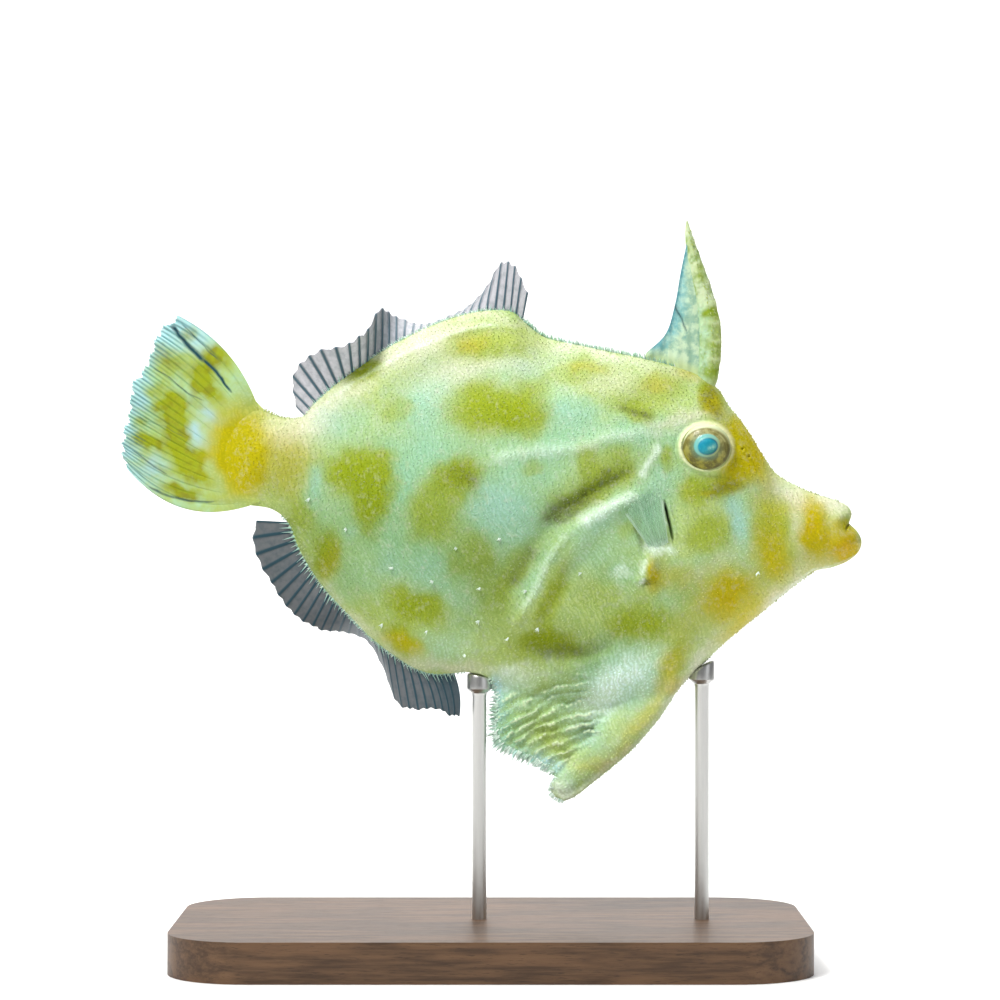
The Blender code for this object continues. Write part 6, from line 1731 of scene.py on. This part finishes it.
def make_barbs(tree):
    """Downward barbs in a row along each side of the spine, and small ones up its front."""
    draw = np.random.default_rng(240)
    line = smooth_line(SPINE, 0.1)
    roots, lies, sizes = [], [], []
    for k in range(34, len(line) - 14, 7):
        x, z, size = line[k]
        for side in (-1, 1):
            for turn, scale in ((78, 1.0), (48, 0.75), (16, 0.7)):
                t = math.radians(turn + draw.uniform(-7, 7))
                lift = draw.uniform(-0.25, 0.25)
                out = np.array([math.cos(t), side * SPINE_FLATNESS * math.sin(t), 0])
                roots.append(np.array([x, 0, z + lift]) + out * size * 0.95)
                lies.append(out * (1, 1.3, 1) + (0, 0, -0.75) + draw.uniform(-0.12, 0.12, 3))
                sizes.append(scale * draw.uniform(0.8, 1.15))
    roots, lies = np.array(roots), np.array(lies)
    masks = {key: np.zeros(len(roots)) for key in MASKS}
    masks["cream"] = draw.uniform(0.0, 0.4, len(roots))
    masks["olive"] = draw.uniform(0.1, 0.7, len(roots))
    masks["light"] = np.zeros(len(roots))
    masks["pale"] = np.zeros(len(roots))
    masks["tone"] = draw.uniform(-0.9, 0.0, len(roots))
    uvs = np.column_stack([draw.uniform(0.02, 0.98, len(roots)), draw.uniform(0.02, 0.98, len(roots))])
    stand_bristles("spine_barbs", tree, roots, lies, np.array(sizes), masks, uvs, *BARB_SIZE, "spine")


def make_sheaths(tree):
    """Pale pointed sheaths at the roots of the soft rays."""
    for label, stroke, first, last, keys, rays, length in (
        ("dorsal", BACK, 3, 12, DORSAL, DORSAL_RAYS, 1.3), ("anal", BELLY, 2, 13, ANAL, ANAL_RAYS, 2.0),
    ):
        root = rooted(stroke, first, last, 0.4)
        if label == "dorsal":
            root = root[::-1]
        shares = np.linspace(0, 1, 2 * rays - 1)
        grid = fin_grid(root, keys, shares, np.array([0.0, 0.3]), np.ones(len(shares)))
        draw = np.random.default_rng(250)
        out = grid[:, 1] - grid[:, 0]
        out /= np.linalg.norm(out, axis=1)[:, None]
        roots, lies = [], []
        for side in (-1, 1):
            roots.append(grid[:, 0] + (0, side * 0.22, 0))
            lies.append(out + (0, side * 0.10, 0) + draw.uniform(-0.08, 0.08, out.shape))
        roots, lies = np.vstack(roots), np.vstack(lies)
        count = len(roots)
        masks = {key: np.zeros(count) for key in MASKS}
        masks["aqua"] = np.full(count, 1.0)
        masks["blue"] = np.full(count, 1.0)
        masks["light"] = np.zeros(count)
        masks["pale"] = draw.uniform(0.0, 0.15, count)
        uvs = unwrapped(np.clip(roots[:, 0], -40, 55), roots[:, 2], np.zeros(count))
        stand_bristles("ray_sheaths_" + label, tree, roots, lies, draw.uniform(0.55, 1.15, count), masks, uvs,
                       length, 0.12, "skin")


def make_base(finish):
    """The base, a rounded slab with softened edges."""
    shell = bmesh.new()
    half_length = BASE_LENGTH / 2 - BASE_CORNER
    half_depth = BASE_WIDTH / 2 - BASE_CORNER
    points = []
    for sx, sy, start in ((1, 1, 0), (-1, 1, 90), (-1, -1, 180), (1, -1, 270)):
        for step in range(17):
            turn = math.radians(start + step * 90 / 16)
            points.append((sx * half_length + BASE_CORNER * math.cos(turn),
                           sy * half_depth + BASE_CORNER * math.sin(turn)))
    bottom = [shell.verts.new((x * MM, y * MM, 0)) for x, y in points]
    top = [shell.verts.new((x * MM, y * MM, BASE_HEIGHT * MM)) for x, y in points]
    shell.faces.new(bottom[::-1])
    shell.faces.new(top)
    count = len(points)
    for k in range(count):
        shell.faces.new((bottom[k], bottom[(k + 1) % count], top[(k + 1) % count], top[k]))
    rims = [e for e in shell.edges if abs(e.verts[0].co.z - e.verts[1].co.z) < 1e-6]
    bmesh.ops.bevel(shell, geom=rims, offset=BASE_EDGE * MM, segments=5, affect="EDGES", profile=0.5)
    bmesh.ops.recalc_face_normals(shell, faces=shell.faces)
    mesh = bpy.data.meshes.new("stand_base_visual")
    shell.to_mesh(mesh)
    shell.free()
    mesh.shade_smooth()
    mesh.set_sharp_from_angle(angle=math.radians(50))
    return piece("stand_base_visual", mesh, finish, ("stand_base",))


def make_rod(node, x, top, finish):
    """A rod turned in one piece with the round seat that carries the fish."""
    low = BASE_HEIGHT - 0.3
    neck = top - SEAT_HEIGHT
    profile = [(0, low), (ROD_RADIUS, low), (ROD_RADIUS, neck - 0.6), (ROD_RADIUS + 0.1, neck - 0.15),
               (SEAT_RADIUS - 0.25, neck + 0.2), (SEAT_RADIUS, neck + 0.5), (SEAT_RADIUS, top - 2.1),
               (SEAT_RADIUS - 0.15, top - 1.75), (SEAT_RADIUS - 0.5, top - 1.6)]
    lean = -0.35 if "rear" in node else 1.0
    sides = 48
    points = []
    for r, z in profile[1:]:
        for k in range(sides):
            turn = 2 * math.pi * k / sides
            lift = 0.0 if z < top - 2.3 else lean * math.cos(turn) * r / SEAT_RADIUS
            points.append((x + r * math.cos(turn), r * math.sin(turn), z + lift))
    rings = len(profile) - 1
    faces = []
    for i in range(rings - 1):
        for k in range(sides):
            a, b = i * sides + k, i * sides + (k + 1) % sides
            faces += [(a, b, b + sides), (a, b + sides, a + sides)]
    points += [(x, 0, low), (x, 0, top - 1.6)]
    faces += [((k + 1) % sides, k, len(points) - 2) for k in range(sides)]
    last = (rings - 1) * sides
    faces += [(last + k, last + (k + 1) % sides, len(points) - 1) for k in range(sides)]
    mesh = mesh_from(node + "_visual", points, faces)
    mesh.set_sharp_from_angle(angle=math.radians(35))
    return piece(node + "_visual", mesh, finish, (node,))


def make_studio():
    """A pale floor that sweeps up behind the model, soft lights and the camera."""
    profile = [(-1.6, 0.0), (0.32, 0.0)]
    turns = np.linspace(0.1, math.pi / 2, 16)
    profile += [(0.32 + 0.35 * math.sin(t), 0.35 - 0.35 * math.cos(t)) for t in turns]
    profile += [(0.67, 1.8)]
    shell = bmesh.new()
    rows = [[shell.verts.new((x, y, z)) for y, z in profile] for x in (-1.8, 1.8)]
    for k in range(len(profile) - 1):
        shell.faces.new((rows[0][k], rows[1][k], rows[1][k + 1], rows[0][k + 1]))
    mesh = bpy.data.meshes.new("studio_floor")
    shell.to_mesh(mesh)
    shell.free()
    mesh.shade_smooth()
    floor = bpy.data.objects.new("studio_floor", mesh)
    bpy.context.scene.collection.objects.link(floor)
    mesh.materials.append(floor_finish())

    world = bpy.data.worlds.new("studio_air")
    bpy.context.scene.world = world
    world.use_nodes = True
    world.node_tree.nodes["Background"].inputs[0].default_value = (0.95, 0.97, 1.0, 1)
    world.node_tree.nodes["Background"].inputs[1].default_value = 0.24
    lamps = [
        ("key_light", (-0.24, -0.30, 0.56), 0.22, 4.5, (1.0, 0.99, 0.96)),
        ("fill_light", (0.42, -0.40, 0.22), 0.40, 0.3, (0.96, 0.98, 1.0)),
        ("rim_light", (0.05, 0.30, 0.42), 0.25, 0.8, (1.0, 1.0, 1.0)),
        ("backdrop_light", (0.0, 0.12, 0.52), 0.5, 3.6, (1.0, 1.0, 1.0)),
    ]
    for name, place, size, power, colour in lamps:
        light = bpy.data.lights.new(name, "AREA")
        light.shape = "DISK"
        light.size = size
        light.energy = power
        light.color = colour
        lamp = bpy.data.objects.new(name, light)
        lamp.location = place
        aim = Vector((0.0, 0.67, 0.16)) if name == "backdrop_light" else Vector((0.0, 0.0, 0.06))
        lamp.rotation_euler = (aim - Vector(place)).to_track_quat("-Z", "Y").to_euler()
        bpy.context.scene.collection.objects.link(lamp)

    view = bpy.data.cameras.new("camera")
    view.lens = 120.0
    view.sensor_width = 36.0
    camera = bpy.data.objects.new("camera", view)
    away = FRAME_WIDTH * view.lens / view.sensor_width
    camera.location = (FRAME_MIDDLE[0] * MM, -away * MM, FRAME_MIDDLE[1] * MM)
    camera.rotation_euler = (math.radians(90), 0, 0)
    bpy.context.scene.collection.objects.link(camera)
    bpy.context.scene.camera = camera
    bpy.context.scene.view_settings.view_transform = "Standard"


FRAME_WIDTH = 150.0
FRAME_MIDDLE = (1.35, 68.8)


def main():
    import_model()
    make_studio()
    make_skin(skin_finish())
    make_eye("eye_right_visual", -1, eye_finish())
    make_eye("eye_left_visual", 1, bpy.data.materials["filefish_eye"])
    dorsal = soft_fin_finish("soft_dorsal_skin", (0.42, 0.42, 0.46), 0.60, (0.05, 0.10, 0.13),
                             (0.10, 0.27, 0.28))

    # The anal membrane's dark grey is painted shadow: it stands for the shade behind the thin fin.
    anal = soft_fin_finish("anal_fin_skin", (0.135, 0.145, 0.155), 0.88, (0.02, 0.058, 0.08),
                           (0.08, 0.24, 0.28))
    pectoral = soft_fin_finish("pectoral_skin", (0.30, 0.52, 0.34), 0.30, (0.42, 0.66, 0.46),
                               (0.74, 0.88, 0.76), 0.18)
    soft_fin("soft_dorsal_visual", rooted(BACK, 3, 12, 0.9)[::-1], DORSAL, DORSAL_RAYS, dorsal,
             ("soft_dorsal_fin",), [(0.62, 0.09, 0.7)])
    soft_fin("anal_fin_visual", rooted(BELLY, 2, 13, 0.9), ANAL, ANAL_RAYS, anal, ("anal_fin",),
             [(0.03, 0.12, 1.0), (0.46, 0.13, 0.9)], 0.03, 4)
    make_tail(tail_finish())
    make_web(web_finish())
    make_pectoral("pectoral_right_visual", -1, pectoral)
    make_pectoral("pectoral_left_visual", 1, pectoral)
    make_spine(spine_finish())
    spinules = spinule_finish()
    fine = bristle_tree("spinule_tree", spinules, 3)
    stout = bristle_tree("barb_tree", spinules, 8)
    make_spinules(fine)
    make_fringe(fine)
    make_tags(bristle_tree("tag_tree", spinules, 4))
    make_barbs(stout)
    make_sheaths(stout)
    wood = wood_finish()
    steel = steel_finish()
    make_base(wood)
    for node, (x, top) in RODS.items():
        make_rod(node, x, top, steel)


main()
